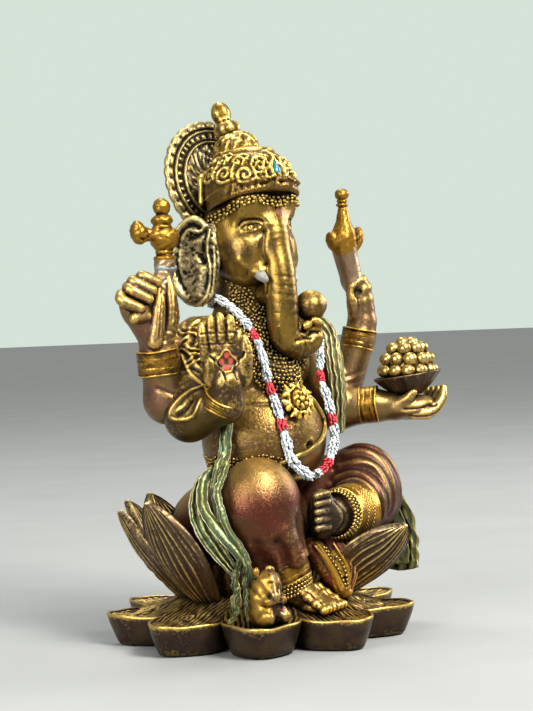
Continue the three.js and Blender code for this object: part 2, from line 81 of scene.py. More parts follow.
def heading(degrees):
    """The level direction of a petal: 0 is the front, and it is positive towards the figure's left."""
    return np.array([math.sin(math.radians(degrees)), -math.cos(math.radians(degrees)), 0.0])


def hill(x, width):
    """1 where x is 0, falling away on both sides over width."""
    return np.exp(-((x / width) ** 2))


def mound(p, centre, radii):
    """1 at centre, falling away over radii."""
    return np.exp(-(((p - centre) / radii) ** 2).sum(1))


def crosswise(axis):
    """Two directions across an axis, at right angles to each other."""
    across = unit(np.cross(axis, [0.3, 1.0, 0.1]))
    return across, np.cross(axis, across)


def unit(v):
    v = np.asarray(v, float)
    return v / np.linalg.norm(v)


def smooth_path(points, count):
    """count points along a Catmull-Rom curve through points, which may carry a radius as a fourth number."""
    p = np.asarray(points, float)
    p = np.vstack([2 * p[0] - p[1], p, 2 * p[-1] - p[-2]])
    t = np.linspace(0, len(p) - 3, count)
    i = np.minimum(t.astype(int), len(p) - 4)
    f = (t - i)[:, None]
    a, b, c, d = p[i], p[i + 1], p[i + 2], p[i + 3]
    return 0.5 * (2 * b + (c - a) * f + (2 * a - 5 * b + 4 * c - d) * f**2 + (3 * b - a - 3 * c + d) * f**3)


def even_path(points, spacing):
    """Points every spacing mm along the smooth curve through points."""
    fine = smooth_path(points, 40 * len(points))
    run = np.concatenate([[0], np.cumsum(np.linalg.norm(np.diff(fine[:, :3], axis=0), axis=1))])
    stops = np.linspace(0, run[-1], max(2, int(round(run[-1] / spacing)) + 1))
    return np.stack([np.interp(stops, run, fine[:, k]) for k in range(fine.shape[1])], axis=1)


# ---------------------------------------------------------------- clay


class Lump:
    """An ellipsoid, turned by Euler angles in degrees."""

    def __init__(self, centre, radii, turn=(0, 0, 0)):
        self.centre = np.asarray(centre, float)
        self.radii = np.asarray(radii, float)
        self.axes = np.array(Euler([math.radians(a) for a in turn]).to_matrix())
        self.reach = self.radii.max()

    def __call__(self, p):
        q = (p - self.centre) @ self.axes
        k0 = np.sqrt(((q / self.radii) ** 2).sum(-1))
        k1 = np.sqrt(((q / self.radii**2) ** 2).sum(-1))
        return k0 * (k0 - 1) / np.maximum(k1, 1e-6)


class Limb:
    """A round bone from p to q that tapers between its radii."""

    def __init__(self, p, q, radius_p, radius_q=None):
        self.p, self.q = np.asarray(p, float), np.asarray(q, float)
        self.rp, self.rq = radius_p, radius_p if radius_q is None else radius_q
        self.centre = (self.p + self.q) / 2
        self.reach = np.linalg.norm(self.q - self.p) / 2 + max(self.rp, self.rq)

    def __call__(self, p):
        along = self.q - self.p
        h = np.clip((p - self.p) @ along / (along @ along), 0, 1)
        return np.linalg.norm(p - self.p - h[..., None] * along,
                              axis=-1) - (self.rp + (self.rq - self.rp) * h)


def chain(*joints):
    """Limbs from joint to joint, each joint being (x, y, z, radius)."""
    return [Limb(a[:3], b[:3], a[3], b[3]) for a, b in zip(joints[:-1], joints[1:])]


def pair(centre, radii, turn=(0, 0, 0)):
    """A lump and its mirror image; the right one comes first, and centre is the left one's."""
    mirrored = (-centre[0], *centre[1:])
    return Lump(mirrored, radii, (turn[0], -turn[1], -turn[2])), Lump(centre, radii, turn)


class Coil:
    """A round body that bends through points, each being (x, y, z, radius)."""

    def __init__(self, points, links=None):
        fine = smooth_path(points, links or 4 * len(points) - 3)
        self.links = [Limb(a[:3], b[:3], a[3], b[3]) for a, b in zip(fine[:-1], fine[1:])]
        ends = np.array([link.centre for link in self.links])
        self.centre = (ends.max(0) + ends.min(0)) / 2
        self.reach = max(np.linalg.norm(k.centre - self.centre) + k.reach for k in self.links)

    def __call__(self, p):
        d = self.links[0](p)
        for link in self.links[1:]:
            d = np.minimum(d, link(p))
        return d


class Slab:
    """Everything on the far side of a plane through point, away from normal."""

    def __init__(self, point, normal):
        self.centre, self.normal = np.asarray(point, float), unit(normal)
        self.reach = 1000.0

    def __call__(self, p):
        return (p - self.centre) @ self.normal


class Ring:
    """A ring of the given radius round an axis through centre, of half-thickness (outwards, along)."""

    def __init__(self, centre, axis, radius, half):
        self.centre, self.axis = np.asarray(centre, float), unit(axis)
        self.radius, self.half = radius, half
        self.reach = radius + max(half)

    def __call__(self, p):
        q = p - self.centre
        along = q @ self.axis
        out = np.linalg.norm(q - along[..., None] * self.axis, axis=-1) - self.radius
        a, b = self.half
        k0 = np.sqrt((out / a) ** 2 + (along / b) ** 2)
        k1 = np.sqrt((out / a**2) ** 2 + (along / b**2) ** 2)
        return k0 * (k0 - 1) / np.maximum(k1, 1e-6)


def melt(a, b, k):
    """The nearer of two distances, with the crease between them filled over a width k."""
    h = np.clip(0.5 + 0.5 * (b - a) / k, 0, 1)
    return b + (a - b) * h - k * h * (1 - h)


class Clay:
    """A carved piece: add and cut shape it, and then ridge, groove and ripple work its skin."""

    def __init__(self):
        self.steps = []
        self.strokes = []
        self.ripples = []

    def add(self, *shapes, soft=0.6):
        self.steps += [(shape, soft, False) for shape in shapes]
        return self

    def cut(self, *shapes, soft=0.3):
        self.steps += [(shape, soft, True) for shape in shapes]
        return self

    def ridge(self, points, width, depth):
        """Raises a line along points, which are first moved onto the skin."""
        path = even_path(np.asarray(points, float)[:, :3], min(0.3, width))
        self.strokes.append((self.settle(path), width, depth))
        return self

    def groove(self, points, width, depth):
        return self.ridge(points, width, -depth)

    def ripple(self, height):
        """height(p) is how far the skin is pushed out at each point, in mm."""
        self.ripples.append(height)
        return self

    def field(self, p):
        """Signed distances at p, an array (blocks, points, 3). Shapes far from a block are skipped there."""
        heart = p.mean(axis=1)
        spread = np.linalg.norm(p - heart[:, None], axis=-1).max()
        d = np.full(p.shape[:2], FAR)
        for shape, soft, cuts in self.steps:
            limit = shape.reach + spread + 3.0 * soft + MARGIN
            near = np.linalg.norm(heart - shape.centre, axis=-1) < limit
            if not near.any():
                continue
            if cuts:
                d[near] = -melt(-d[near], shape(p[near]), soft)
            else:
                d[near] = melt(d[near], shape(p[near]), soft)
        return d

    def at(self, points):
        return self.field(np.asarray(points, float)[:, None, :])[:, 0]

    def normal(self, points):
        points = np.asarray(points, float)
        slope = np.stack([self.at(points + e) - self.at(points - e) for e in 0.05 * np.eye(3)], axis=1)
        return slope / np.maximum(np.linalg.norm(slope, axis=1, keepdims=True), 1e-9)

    def settle(self, points, lift=0.0):
        """Moves points onto the skin, or lift mm above it."""
        points = np.array(points, float)
        for _ in range(4):
            points -= (self.at(points) - lift)[:, None] * self.normal(points)
        return points

    def quads(self, corner_low, corner_high, voxel):
        """The skin as vertices in mm and four-sided faces; blocks that it can't pass through are left out."""
        start = np.asarray(corner_low, float) - 2 * voxel
        blocks = np.ceil((np.asarray(corner_high) + 2 * voxel - start) / (BLOCK * voxel)).astype(int)
        index = np.stack(np.meshgrid(*[np.arange(b) for b in blocks], indexing="ij"), -1).reshape(-1, 3)
        size = BLOCK * voxel
        hearts = start + (index + 0.5) * size - 0.5 * voxel
        rough = np.concatenate([self.field(c[:, None, :])[:, 0] for c in np.array_split(hearts, 8)])
        grid = np.repeat(np.sign(rough)[:, None], BLOCK**3, axis=1).astype(np.float32) * 2 * voxel
        near = np.flatnonzero(np.abs(rough) < HALF_DIAGONAL * size + SLACK)
        local = np.stack(np.meshgrid(*[np.arange(BLOCK)] * 3, indexing="ij"), -1).reshape(-1, 3) * voxel

        def fill(part):
            grid[part] = self.field(start + index[part][:, None] * size + local[None])

        with ThreadPoolExecutor(4) as pool:
            list(pool.map(fill, np.array_split(near, max(1, len(near) // 96))))
        dense = grid.reshape(tuple(blocks) + (BLOCK,) * 3).transpose(0, 3, 1, 4, 2,
                      5).reshape(*(blocks * BLOCK))
        volume = openvdb.FloatGrid(background=2 * voxel)
        volume.copyFromArray(np.ascontiguousarray(np.clip(dense, -2 * voxel, 2 * voxel)))
        points, faces = volume.convertToQuads(0.0)
        points, faces = points * voxel + start, faces.astype(int)
        return self.worked(points, faces), faces

    def worked(self, points, faces):
        """The vertices moved out and in by the strokes and ripples."""
        push = np.zeros(len(points))
        for path, width, depth in self.strokes:
            span = 2.6 * width
            near = np.all((points > path.min(0) - span) & (points < path.max(0) + span), axis=1)
            if near.any():
                far = nearest(points[near], path)
                push[near] += depth * np.exp(-((far / width) ** 2))
        for height in self.ripples:
            push += height(points)
        return points + push[:, None] * skin_normals(points, faces)


def nearest(points, path):
    """How far each point is from a polyline."""
    best = np.full(len(points), FAR)
    for a, b in zip(path[:-1], path[1:]):
        along = b - a
        h = np.clip((points - a) @ along / max(along @ along, 1e-12), 0, 1)
        best = np.minimum(best, ((points - a - h[:, None] * along) ** 2).sum(1))
    return np.sqrt(best)


def skin_normals(points, faces):
    """Unit normals of the vertices of a mesh of quads."""
    a, b, c, d = (points[faces[:, k]] for k in range(4))
    flat = np.cross(c - a, d - b)
    corner = faces.ravel()
    total = np.stack([np.bincount(corner, np.repeat(flat[:, k], 4), len(points)) for k in range(3)], axis=1)
    return total / np.maximum(np.linalg.norm(total, axis=1, keepdims=True), 1e-12)


# ---------------------------------------------------------------- meshes


def mesh_piece(name, points, faces):
    """A Blender object from vertices in mm and faces."""
    mesh = bpy.data.meshes.new(name)
    points = np.asarray(points, float) * MM
    if isinstance(faces, np.ndarray):
        count, sides = faces.shape
        mesh.vertices.add(len(points))
        mesh.vertices.foreach_set("co", points.astype(np.float32).ravel())
        mesh.loops.add(count * sides)
        mesh.loops.foreach_set("vertex_index", faces.astype(np.int32).ravel())
        mesh.polygons.add(count)
        mesh.polygons.foreach_set("loop_start", np.arange(0, count * sides, sides, dtype=np.int32))
        mesh.update(calc_edges=True)
        mesh.validate()
    else:
        mesh.from_pydata([tuple(p) for p in points], [], faces)
    mesh.polygons.foreach_set("use_smooth", [True] * len(mesh.polygons))
    piece = bpy.data.objects.new(name, mesh)
    bpy.context.scene.collection.objects.link(piece)
    return piece


def relief(piece, passes=4):
    """Stores how far the skin is raised (1) or sunk (0), which is where paint rubs off or gathers."""
    mesh = piece.data
    n = len(mesh.vertices)
    co = vertices(piece)
    normal = np.zeros(n * 3, np.float32)
    mesh.vertex_normals.foreach_get("vector", normal)
    normal = normal.reshape(n, 3)
    edges = np.zeros(len(mesh.edges) * 2, np.int32)
    mesh.edges.foreach_get("vertices", edges)
    a, b = edges.reshape(-1, 2).T
    valence = np.maximum(np.bincount(a, minlength=n) + np.bincount(b, minlength=n), 1)

    def around(values):
        return (np.bincount(a, values[b], n) + np.bincount(b, values[a], n)) / valence

    lap = np.stack([around(co[:, k]) - co[:, k] for k in range(3)], axis=1)
    square = ((co[a] - co[b]) ** 2).sum(1)
    square = (np.bincount(a, square, n) + np.bincount(b, square, n)) / valence
    bend = -2 * (lap * normal).sum(1) / np.maximum(square, 1e-4)
    for _ in range(passes):
        bend = 0.5 * bend + 0.5 * around(bend)
    store(piece, "relief", 0.5 + 0.5 * np.tanh(0.75 * bend))


def store(piece, name, values):
    """Keeps one number for each vertex, for the materials to read."""
    layer = piece.data.attributes.new(name, "FLOAT", "POINT")
    layer.data.foreach_set("value", np.asarray(values, np.float32))


def vertices(piece):
    """The vertices of a piece, in mm."""
    co = np.zeros(len(piece.data.vertices) * 3, np.float32)
    piece.data.vertices.foreach_get("co", co)
    return co.reshape(-1, 3) / MM


def paint(piece, spots):
    """A vertex attribute for a dab of red paint; spots are (centre, radii) in mm."""
    p = vertices(piece)
    mask = np.zeros(len(p))
    for centre, radii in spots:
        r = np.sqrt((((p - centre) / radii) ** 2).sum(1))
        mask = np.maximum(mask, np.clip((1.15 - r) / 0.3, 0, 1))
    store(piece, "dab", mask)


def fire(name, clay, material, voxel, box=None, spots=None, spare=1.0, stands_in=True):
    """Meshes a clay piece, which replaces the CAD node of its name where stands_in is true."""
    corners = box or (low(name) - spare, high(name) + spare)
    points, faces = clay.quads(*corners, voxel)
    piece = mesh_piece(name, points, faces)
    relief(piece)
    if spots:
        paint(piece, spots)
    return finish_piece(piece, material, [name] if stands_in else [])


def finish_piece(piece, material, replaced):
    """Gives a piece its material, its body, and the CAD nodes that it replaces."""
    piece.data.materials.clear()
    piece.data.materials.append(material)
    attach(piece, "root")
    if replaced:
        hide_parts(*replaced)
    return piece


def grid_faces(rows, columns, closed=False):
    """Quads of a grid of rows by columns of vertices; closed joins the last column to the first."""
    r = np.arange(rows - 1)[:, None]
    c = np.arange(columns if closed else columns - 1)[None]
    n = (c + 1) % columns
    here, above = r * columns, (r + 1) * columns
    return np.stack([here + c, here + n, above + n, above + c], -1).reshape(-1, 4)


def tube_faces(rows, columns):
    """The faces of a tube of rows by columns of vertices, with one flat face at each end."""
    ends = [list(range(columns - 1, -1, -1)), list(range((rows - 1) * columns, rows * columns))]
    return grid_faces(rows, columns, closed=True).tolist() + ends


def turned(name, profile, foot, axis, sides=96, bulge=None):
    """A body turned about axis through foot; profile is (radius, height).

    bulge(radius, height, angle) gives what is added to the radius and to the height.
    """
    axis = unit(axis)
    across, over = crosswise(axis)
    profile = np.asarray(profile, float)
    angle = np.linspace(0, 2 * math.pi, sides, endpoint=False)
    r, h = profile[:, :1] + 0 * angle, profile[:, 1:] + 0 * angle
    if bulge:
        dr, dh = bulge(r, h, angle + 0 * r)
        r, h = np.maximum(r + dr, 0.02), h + dh
    ring = np.cos(angle)[None, :, None] * across + np.sin(angle)[None, :, None] * over
    points = np.asarray(foot) + r[..., None] * ring + h[..., None] * axis
    points = points.reshape(-1, 3)
    ends = [np.asarray(foot) + profile[0, 1] * axis, np.asarray(foot) + profile[-1, 1] * axis]
    centre, last = len(points), (len(profile) - 1) * sides
    points = np.vstack([points, ends])
    faces = grid_faces(len(profile), sides, closed=True).tolist()
    faces += [(centre, (c + 1) % sides, c) for c in range(sides)]
    faces += [(centre + 1, last + c, last + (c + 1) % sides) for c in range(sides)]
    return mesh_piece(name, points, faces)


def turned_piece(name, material, slot, *form):
    """A turned body that replaces the CAD node of its name."""
    piece = turned(name, *form)
    relief(piece)
    finish_piece(piece, material, [name])


def ball_mesh(detail):
    """Unit sphere vertices and triangles."""
    ball = bpy.data.meshes.new("ball")
    form = bmesh.new()
    bmesh.ops.create_icosphere(form, subdivisions=detail, radius=1.0)
    form.to_mesh(ball)
    form.free()
    co = np.array([v.co for v in ball.vertices])
    faces = np.array([f.vertices for f in ball.polygons])
    bpy.data.meshes.remove(ball)
    return co, faces


BALLS = {detail: ball_mesh(detail) for detail in (2, 3, 4)}


def beads(name, centres, radii, detail=2):
    """Many small balls as one piece."""
    co, faces = BALLS[detail]
    centres = np.asarray(centres, float)
    radii = np.broadcast_to(radii, len(centres))
    points = (centres[:, None] + co[None] * radii[:, None, None]).reshape(-1, 3)
    joined = (faces[None] + len(co) * np.arange(len(centres))[:, None, None]).reshape(-1, 3)
    return mesh_piece(name, points, joined)


def join(name, *pieces):
    """Joins pieces into one object."""
    bpy.ops.object.select_all(action="DESELECT")
    for piece in pieces:
        piece.select_set(True)
    bpy.context.view_layer.objects.active = pieces[0]
    bpy.ops.object.join()
    pieces[0].name = pieces[0].data.name = name
    return pieces[0]


# ---------------------------------------------------------------- finishes


def ink(code):
    """A linear colour from its usual six-digit code."""
    parts = [int(code[i : i + 2], 16) / 255 for i in (0, 2, 4)]
    return [c / 12.92 if c <= 0.04045 else ((c + 0.055) / 1.055) ** 2.4 for c in parts] + [1.0]


class Recipe:
    """A material under construction; its textures lie in the frame, and sizes are in mm."""

    def __init__(self, name):
        self.material = bpy.data.materials.new(name)
        self.material.use_nodes = True
        self.tree = self.material.node_tree
        self.shader = self.tree.nodes["Principled BSDF"]
        self.place = self.tree.nodes.new("ShaderNodeTexCoord").outputs["Object"]

    def make(self, kind, **settings):
        node = self.tree.nodes.new(kind)
        for key, value in settings.items():
            setattr(node, key, value)
        return node

    def feed(self, socket, value):
        if isinstance(value, bpy.types.NodeSocket):
            self.tree.links.new(value, socket)
        else:
            socket.default_value = value

    def noise(self, size, detail=3.0, stretch=None):
        node = self.make("ShaderNodeTexNoise")
        node.inputs["Scale"].default_value = 1 / (size * MM)
        node.inputs["Detail"].default_value = detail
        place = self.place
        if stretch:
            mapping = self.make("ShaderNodeMapping")
            mapping.inputs["Scale"].default_value = stretch
            self.feed(mapping.inputs["Vector"], place)
            place = mapping.outputs["Vector"]
        self.feed(node.inputs["Vector"], place)
        return node.outputs["Fac"]

    def math(self, operation, a, b=0.0, c=0.0):
        node = self.make("ShaderNodeMath", operation=operation)
        for socket, value in zip(node.inputs, (a, b, c)):
            self.feed(socket, value)
        return node.outputs["Value"]

    def step(self, value, low, high):
        """0 below low and 1 above high, with a soft step between."""
        node = self.make("ShaderNodeMapRange", interpolation_type="SMOOTHSTEP")
        self.feed(node.inputs["Value"], value)
        node.inputs["From Min"].default_value = low
        node.inputs["From Max"].default_value = high
        return node.outputs["Result"]

    def mix(self, amount, a, b):
        node = self.make("ShaderNodeMix", data_type="RGBA")
        self.feed(node.inputs["Factor"], amount)
        self.feed(node.inputs["A"], a)
        self.feed(node.inputs["B"], b)
        return node.outputs["Result"]

    def attribute(self, name):
        return self.make("ShaderNodeAttribute", attribute_name=name).outputs["Fac"]

    def shade(self, reach):
        """1 in the open and 0 deep between pieces."""
        # Ambient occlusion, which the finishes use to paint shade.
        node = self.make("ShaderNodeAmbientOcclusion", samples=6)
        node.inputs["Distance"].default_value = reach * MM
        return node.outputs["AO"]

    def upward(self):
        """1 where the surface faces up and -1 where it faces down."""
        split = self.make("ShaderNodeSeparateXYZ")
        self.feed(split.inputs["Vector"], self.make("ShaderNodeNewGeometry").outputs["Normal"])
        return split.outputs["Z"]

    def bump(self, *layers):
        """layers are (height, strength, depth in mm)."""
        normal = None
        for height, strength, depth in layers:
            node = self.make("ShaderNodeBump")
            node.inputs["Strength"].default_value = strength
            node.inputs["Distance"].default_value = depth * MM
            self.feed(node.inputs["Height"], height)
            if normal:
                self.feed(node.inputs["Normal"], normal)
            normal = node.outputs["Normal"]
        self.feed(self.shader.inputs["Normal"], normal)


def antique(name, wash_and_shade, body, second, rub_and_sheen, metallic=0.8, rough=0.4, low=(0.12, 0.42), high=(0.56, 0.86),
            grain=0.5, rubbing=1.0, dab=None, edge=None, edge_name="edge", patch=4.0, grit=0.5, mottle=0.6,
            sheen=0.0):
    """Aged metal paint: a dark wash in the hollows, gold rubbed over the highs, two body colours in patches.

    low and high are the heights where the wash ends and the rubbing starts; mottle and grit break those edges
    up. grain is the bump's strength, and sheen is the share of rubbed gold colour painted on what faces up as
    a sheen. The wash colour is also painted shade where ambient occlusion finds little open air, deep between
    pieces, and what faces up gets a little more rubbed gold colour as a painted highlight.
    """
    r = Recipe(name)
    blotch = r.noise(patch, 4.0)
    fine = r.noise(0.5, 4.0)
    raised = r.attribute("relief")
    height = r.math("MULTIPLY_ADD", r.math("SUBTRACT", blotch, 0.5), mottle, raised)
    height = r.math("MULTIPLY_ADD", r.math("SUBTRACT", fine, 0.5), grit, height)
    # What faces up counts a little higher, so part of the rubbed gold colour there is a painted highlight.
    lit = r.math("MULTIPLY_ADD", r.upward(), 0.1, height)
    colour = r.mix(r.step(blotch, 0.42, 0.6), ink(body), ink(second))
    colour = r.mix(r.math("MULTIPLY", r.step(lit, *high), rubbing), colour, ink(rub_and_sheen))
    if sheen:
        # Painted sheen: rubbed gold colour laid over what faces up, where the light falls.
        top_sheen = r.step(r.math("MULTIPLY_ADD", blotch, 0.5, r.upward()), 0.35, 1.35)
        colour = r.mix(r.math("MULTIPLY", top_sheen, sheen), colour, ink(rub_and_sheen))
    if edge:
        colour = r.mix(r.step(r.attribute(edge_name), 0.35, 0.75), colour, ink(edge))
    # The wash colour gathers where the skin is sunk, which is the object's own patina. It is also painted
    # shade where ambient occlusion finds little open air, deep between pieces.
    unshaded = r.step(r.shade(2.2), 0.1, 0.85)
    clear_of_wash_and_shade = r.math("MULTIPLY", r.step(height, *low), unshaded)
    colour = r.mix(clear_of_wash_and_shade, ink(wash_and_shade), colour)
    speck = r.step(r.noise(0.8, 2.0), 0.68, 0.74)
    colour = r.mix(r.math("MULTIPLY", speck, 0.55), colour, ink(wash_and_shade))
    metal = metallic
    if dab:
        red = r.attribute("dab")
        colour = r.mix(r.step(red, 0.3, 0.6), colour, ink(dab))
        metal = r.math("MULTIPLY_ADD", red, -metallic, metallic)
    r.feed(r.shader.inputs["Base Color"], colour)
    r.feed(r.shader.inputs["Metallic"], metal)
    spread = r.math("MULTIPLY_ADD", clear_of_wash_and_shade, -0.28, rough + 0.24)
    if dab:
        spread = r.math("MULTIPLY_ADD", red, 0.3, spread)
    r.feed(r.shader.inputs["Roughness"], r.math("MULTIPLY_ADD", fine, 0.12, spread))
    r.bump((r.noise(0.3, 2.0), grain, 0.08), (r.noise(1.5, 3.0), grain * 0.6, 0.16))
    return r.material


# A finish with sheen also gets a painted highlight of its rubbed gold colour on what faces up.
BRONZE = antique("bronze", "0c0906", "4d3c26", "43322c", "b8923f")
ROUGH = antique("ear_bronze", "12100a", "8c7c58", "665842", "bcaa70", rough=0.38, grain=1.0, mottle=0.9,
                grit=1.2, low=(0.24, 0.54), patch=2.2)
HALO = antique("halo_bronze", "17130c", "5a4e30", "453a2c", "b09a5c", rough=0.36, mottle=0.5, rubbing=0.75,
               grit=0.8)
SMOOTH = antique("arm_bronze", "120c07", "765f38", "6e503e", "c09e54", metallic=0.86, rough=0.33, patch=6.0,
                 mottle=0.35, grit=0.35, sheen=0.5)
SKIN = antique("skin", "100b07", "5c4720", "4a3826", "c09a4c", metallic=0.86, rough=0.34, mottle=0.4,
               sheen=0.3)
GOLD = antique("gold", "1c1206", "a3751e", "7c5a20", "ecc25a", metallic=0.92, rough=0.3, low=(0.16, 0.44))
BAND = antique("band_gold", "140d06", "8a6420", "4c3a20", "d8a848", metallic=0.9, rough=0.33, patch=2.6,
               mottle=0.9, low=(0.2, 0.5))
CROWN_GOLD = antique("crown_gold", "20170c", "866624", "544425", "cfae5a", metallic=0.9, rough=0.34,
                     low=(0.06, 0.42), patch=3.0, edge="6e5426")
CLOTH = antique("cloth", "120905", "503420", "55291e", "c09a50", metallic=0.84, rough=0.34, patch=5.0,
                mottle=0.3, grit=0.5, sheen=0.75, rubbing=0.3, grain=1.0)
GREEN = antique("verdigris", "0e1009", "5c6034", "486048", "b0aa6c", metallic=0.6, rough=0.38, edge="bcb48c",
                patch=1.8, grit=0.8)
SHAWL = antique("shawl", "1e1a10", "7a6e48", "5f6642", "a89c6a", metallic=0.6, rough=0.4, edge="989060",
                patch=2.4)
LEAF = antique("petal_bronze", "0c0906", "584734", "4a362c", "c0a668", metallic=0.88, rough=0.35, mottle=0.45)
PLATE = antique("plate_bronze", "0c0907", "4a3a28", "3a2b26", "b8984f", metallic=0.86, rough=0.34,
                patch=5.0, mottle=0.45)
BEAD = antique("bead_gold", "0a0704", "4a3a1a", "2a2012", "b0924c", metallic=0.9, rough=0.28, patch=1.4,
               mottle=0.9, rubbing=0.7)
PALM = antique("palm", "110c07", "54421f", "453424", "b8964c", metallic=0.86, rough=0.36, dab="8e2c1a",
               mottle=0.45)
SMOOTH_GOLD = antique("belly_bronze", "100b06", "745a28", "5a4228", "cca85a", metallic=0.86, rough=0.34,
                      patch=6.0, mottle=0.5, grit=0.7, sheen=0.35, grain=1.0)
DARK = antique("dark_bronze", "0a0705", "1e160e", "2c2010", "806432", rough=0.5)
FACE = antique("face", "100b06", "7e632a", "544122", "d0a850", metallic=0.9, rough=0.3, dab="64160e",
               patch=5.0, mottle=0.3, grit=0.3, sheen=0.2)
RED_CLOTH = antique("red_cloth", "120805", "4c2619", "3e2b1a", "7c5c32", metallic=0.82, rough=0.35,
                    patch=5.0, mottle=0.4, grit=0.4)
TAIL = antique("tail_green", "0d1007", "3c3c20", "2c3a24", "7c7440", metallic=0.65, rough=0.38,
               edge="7c7444", patch=2.6)
TOES = antique("toe_bronze", "0b0806", "33281c", "2a201a", "8f7648", rough=0.36, rubbing=0.8)
# On the mouse this gold edge colour is a painted highlight on one half, the other half left darker.
MOUSE = antique("mouse_bronze", "120b06", "4a3224", "3c2a22", "9a7a40", rough=0.34, edge="98742e",
                edge_name="gilt_and_highlight", mottle=0.4)
CLOTH_EDGED = antique("bordered_cloth", "140a06", "5c2a1c", "4c2f22", "b08440", metallic=0.75, rough=0.38,
                      edge="9a7420")
SWEETS = antique("sweet_bronze", "0a0804", "4a3c1e", "382c18", "b89a58", metallic=0.9, rough=0.28, mottle=0.4)
STAFF = antique("staff_bronze", "0e0a07", "a08868", "806a56", "b09660", rough=0.34, edge="8a641c",
                edge_name="gilt_and_highlight", mottle=0.3, grit=0.3, rubbing=0.5)


def plain(name, colour, second, rough, metallic=0.0, size=1.0, grain=0.5, coat=0.0):
    """Paint, steel or felt: two colours in patches of the given size."""
    r = Recipe(name)
    patch = r.step(r.noise(size, 4.0), 0.35, 0.65)
    r.feed(r.shader.inputs["Base Color"], r.mix(patch, ink(colour), ink(second)))
    r.shader.inputs["Metallic"].default_value = metallic
    r.shader.inputs["Coat Weight"].default_value = coat
    r.feed(r.shader.inputs["Roughness"], r.math("MULTIPLY_ADD", patch, 0.1, rough))
    r.bump((r.noise(0.25, 3.0), grain, 0.06))
    return r.material


def flowers(name, petal, shadow, rough=0.6):
    """Painted flowers: painted shade darkens the gaps between the strands, in random patches, and the open
    tops keep the petal colour.
    """
    r = Recipe(name)
    # Ambient occlusion paints shade deep between the strands; the noise adds random patches of the shadow
    # colour.
    open_and_patchy = r.math("MULTIPLY", r.step(r.shade(0.7), 0.2, 0.7), r.step(r.noise(0.7, 3.0), 0.34, 0.46))
    r.feed(r.shader.inputs["Base Color"], r.mix(open_and_patchy, ink(shadow), ink(petal)))
    r.shader.inputs["Roughness"].default_value = rough
    r.bump((r.noise(0.3, 3.0), 0.6, 0.1))
    return r.material


WHITE = flowers("white_flowers", "c2c8cc", "545a59")
RED = flowers("red_flowers", "c02430", "5c121a", 0.5)
IVORY = plain("ivory_paint", "8c8b80", "5c5a50", 0.4, size=1.2)
GREY_CHIP = plain("grey_paint", "8f989c", "5f676b", 0.5, size=0.9)
TURQUOISE = plain("turquoise_paint", "066b82", "075a70", 0.26, size=0.8, grain=0.2, coat=0.3)
STEEL = plain("steel_pin", "9c9c9c", "7f7f7f", 0.3, metallic=1.0, size=0.6)
FELT = plain("black_felt", "1c1c1c", "2b2b2b", 0.95, size=0.25, grain=1.0)


# ---------------------------------------------------------------- head

X = np.array([1.0, 0.0, 0.0])
Z = np.array([0.0, 0.0, 1.0])
TRUNK = [
    (0, -3.6, 73.6, 3.7), (0, -6.2, 69.5, 3.2), (0, -7.1, 66, 2.9), (0, -8.2, 62, 2.75), (0, -8.7, 57.6, 2.7),
    (0.1, -8.7, 53.2, 2.65), (0.8, -8.8, 50.8, 2.5), (3, -9.2, 49.8, 2.4), (5.2, -9.7, 50.7, 2.1),
    (5.4, -9.8, 52.6, 1.8),
]


def tangents(clay, centre):
    """A point on the skin, with its level direction, its upward direction and its normal."""
    on = clay.settle([centre])[0]
    n = clay.normal([on])[0]
    level = unit(np.cross(Z, n))
    return on, level, np.cross(n, level), n


def arc(on, level, up, half_width, half_height, start, end, count=24, sag=0.0):
    """Part of an ellipse round on, from start to end in degrees, anticlockwise from the level direction."""
    a = np.radians(np.linspace(start, end, count))[:, None]
    return on + half_width * np.cos(a) * level + (half_height * np.sin(a) + sag * np.cos(a)) * up


def spiral(clay, centre, radius, turns, hand, width, depth, start=0.0):
    """A raised scroll that winds inwards; hand is 1 or -1."""
    on, level, up, _ = tangents(clay, centre)
    t = np.linspace(0, 1, 40)[:, None]
    angle = 2 * math.pi * turns * t * hand + start
    spread = radius * (1 - 0.85 * t)
    clay.ridge(on + spread * (np.cos(angle) * level + np.sin(angle) * up), width, depth)


def carve_eye(clay, side):
    """A lidded eye with a ringed iris, a crease above it and a pouch below."""
    on, level, up, n = tangents(clay, (side * 4.3, -6.3, 69.8))
    clay.add(Lump(on - 1.0 * n, (1.35, 1.35, 1.2)), soft=0.3)
    socket = np.stack([level / 2.6, up / 1.5, n / 2.5], axis=1)
    clay.ripple(lambda p: -0.45 * np.exp(-(((p - on) @ socket) ** 2).sum(1)))
    clay.ridge(arc(on, level, up, 1.95, 0.85, 6, 174, sag=-0.2 * side), 0.16, 0.3)
    clay.groove(arc(on - 0.12 * up, level, up, 1.9, 0.8, 10, 170, sag=-0.2 * side), 0.13, 0.16)
    clay.ridge(arc(on + 0.05 * up, level, up, 1.8, 0.66, 195, 345, sag=-0.2 * side), 0.15, 0.1)
    clay.groove(arc(on + 0.2 * up, level, up, 2.4, 1.3, 25, 155, sag=-0.2 * side), 0.16, 0.14)
    clay.ridge(arc(on - 0.3 * up, level, up, 3.2, 2.5, 25, 155), 0.8, 0.22)
    clay.groove(arc(on - 0.1 * up, level, up, 2.4, 1.4, 205, 335), 0.35, 0.08)
    clay.groove(arc(on, level, up, 0.56, 0.52, 0, 360, 14), 0.12, 0.13)
    clay.groove([on - 0.04 * up, on + 0.04 * up], 0.15, 0.18)


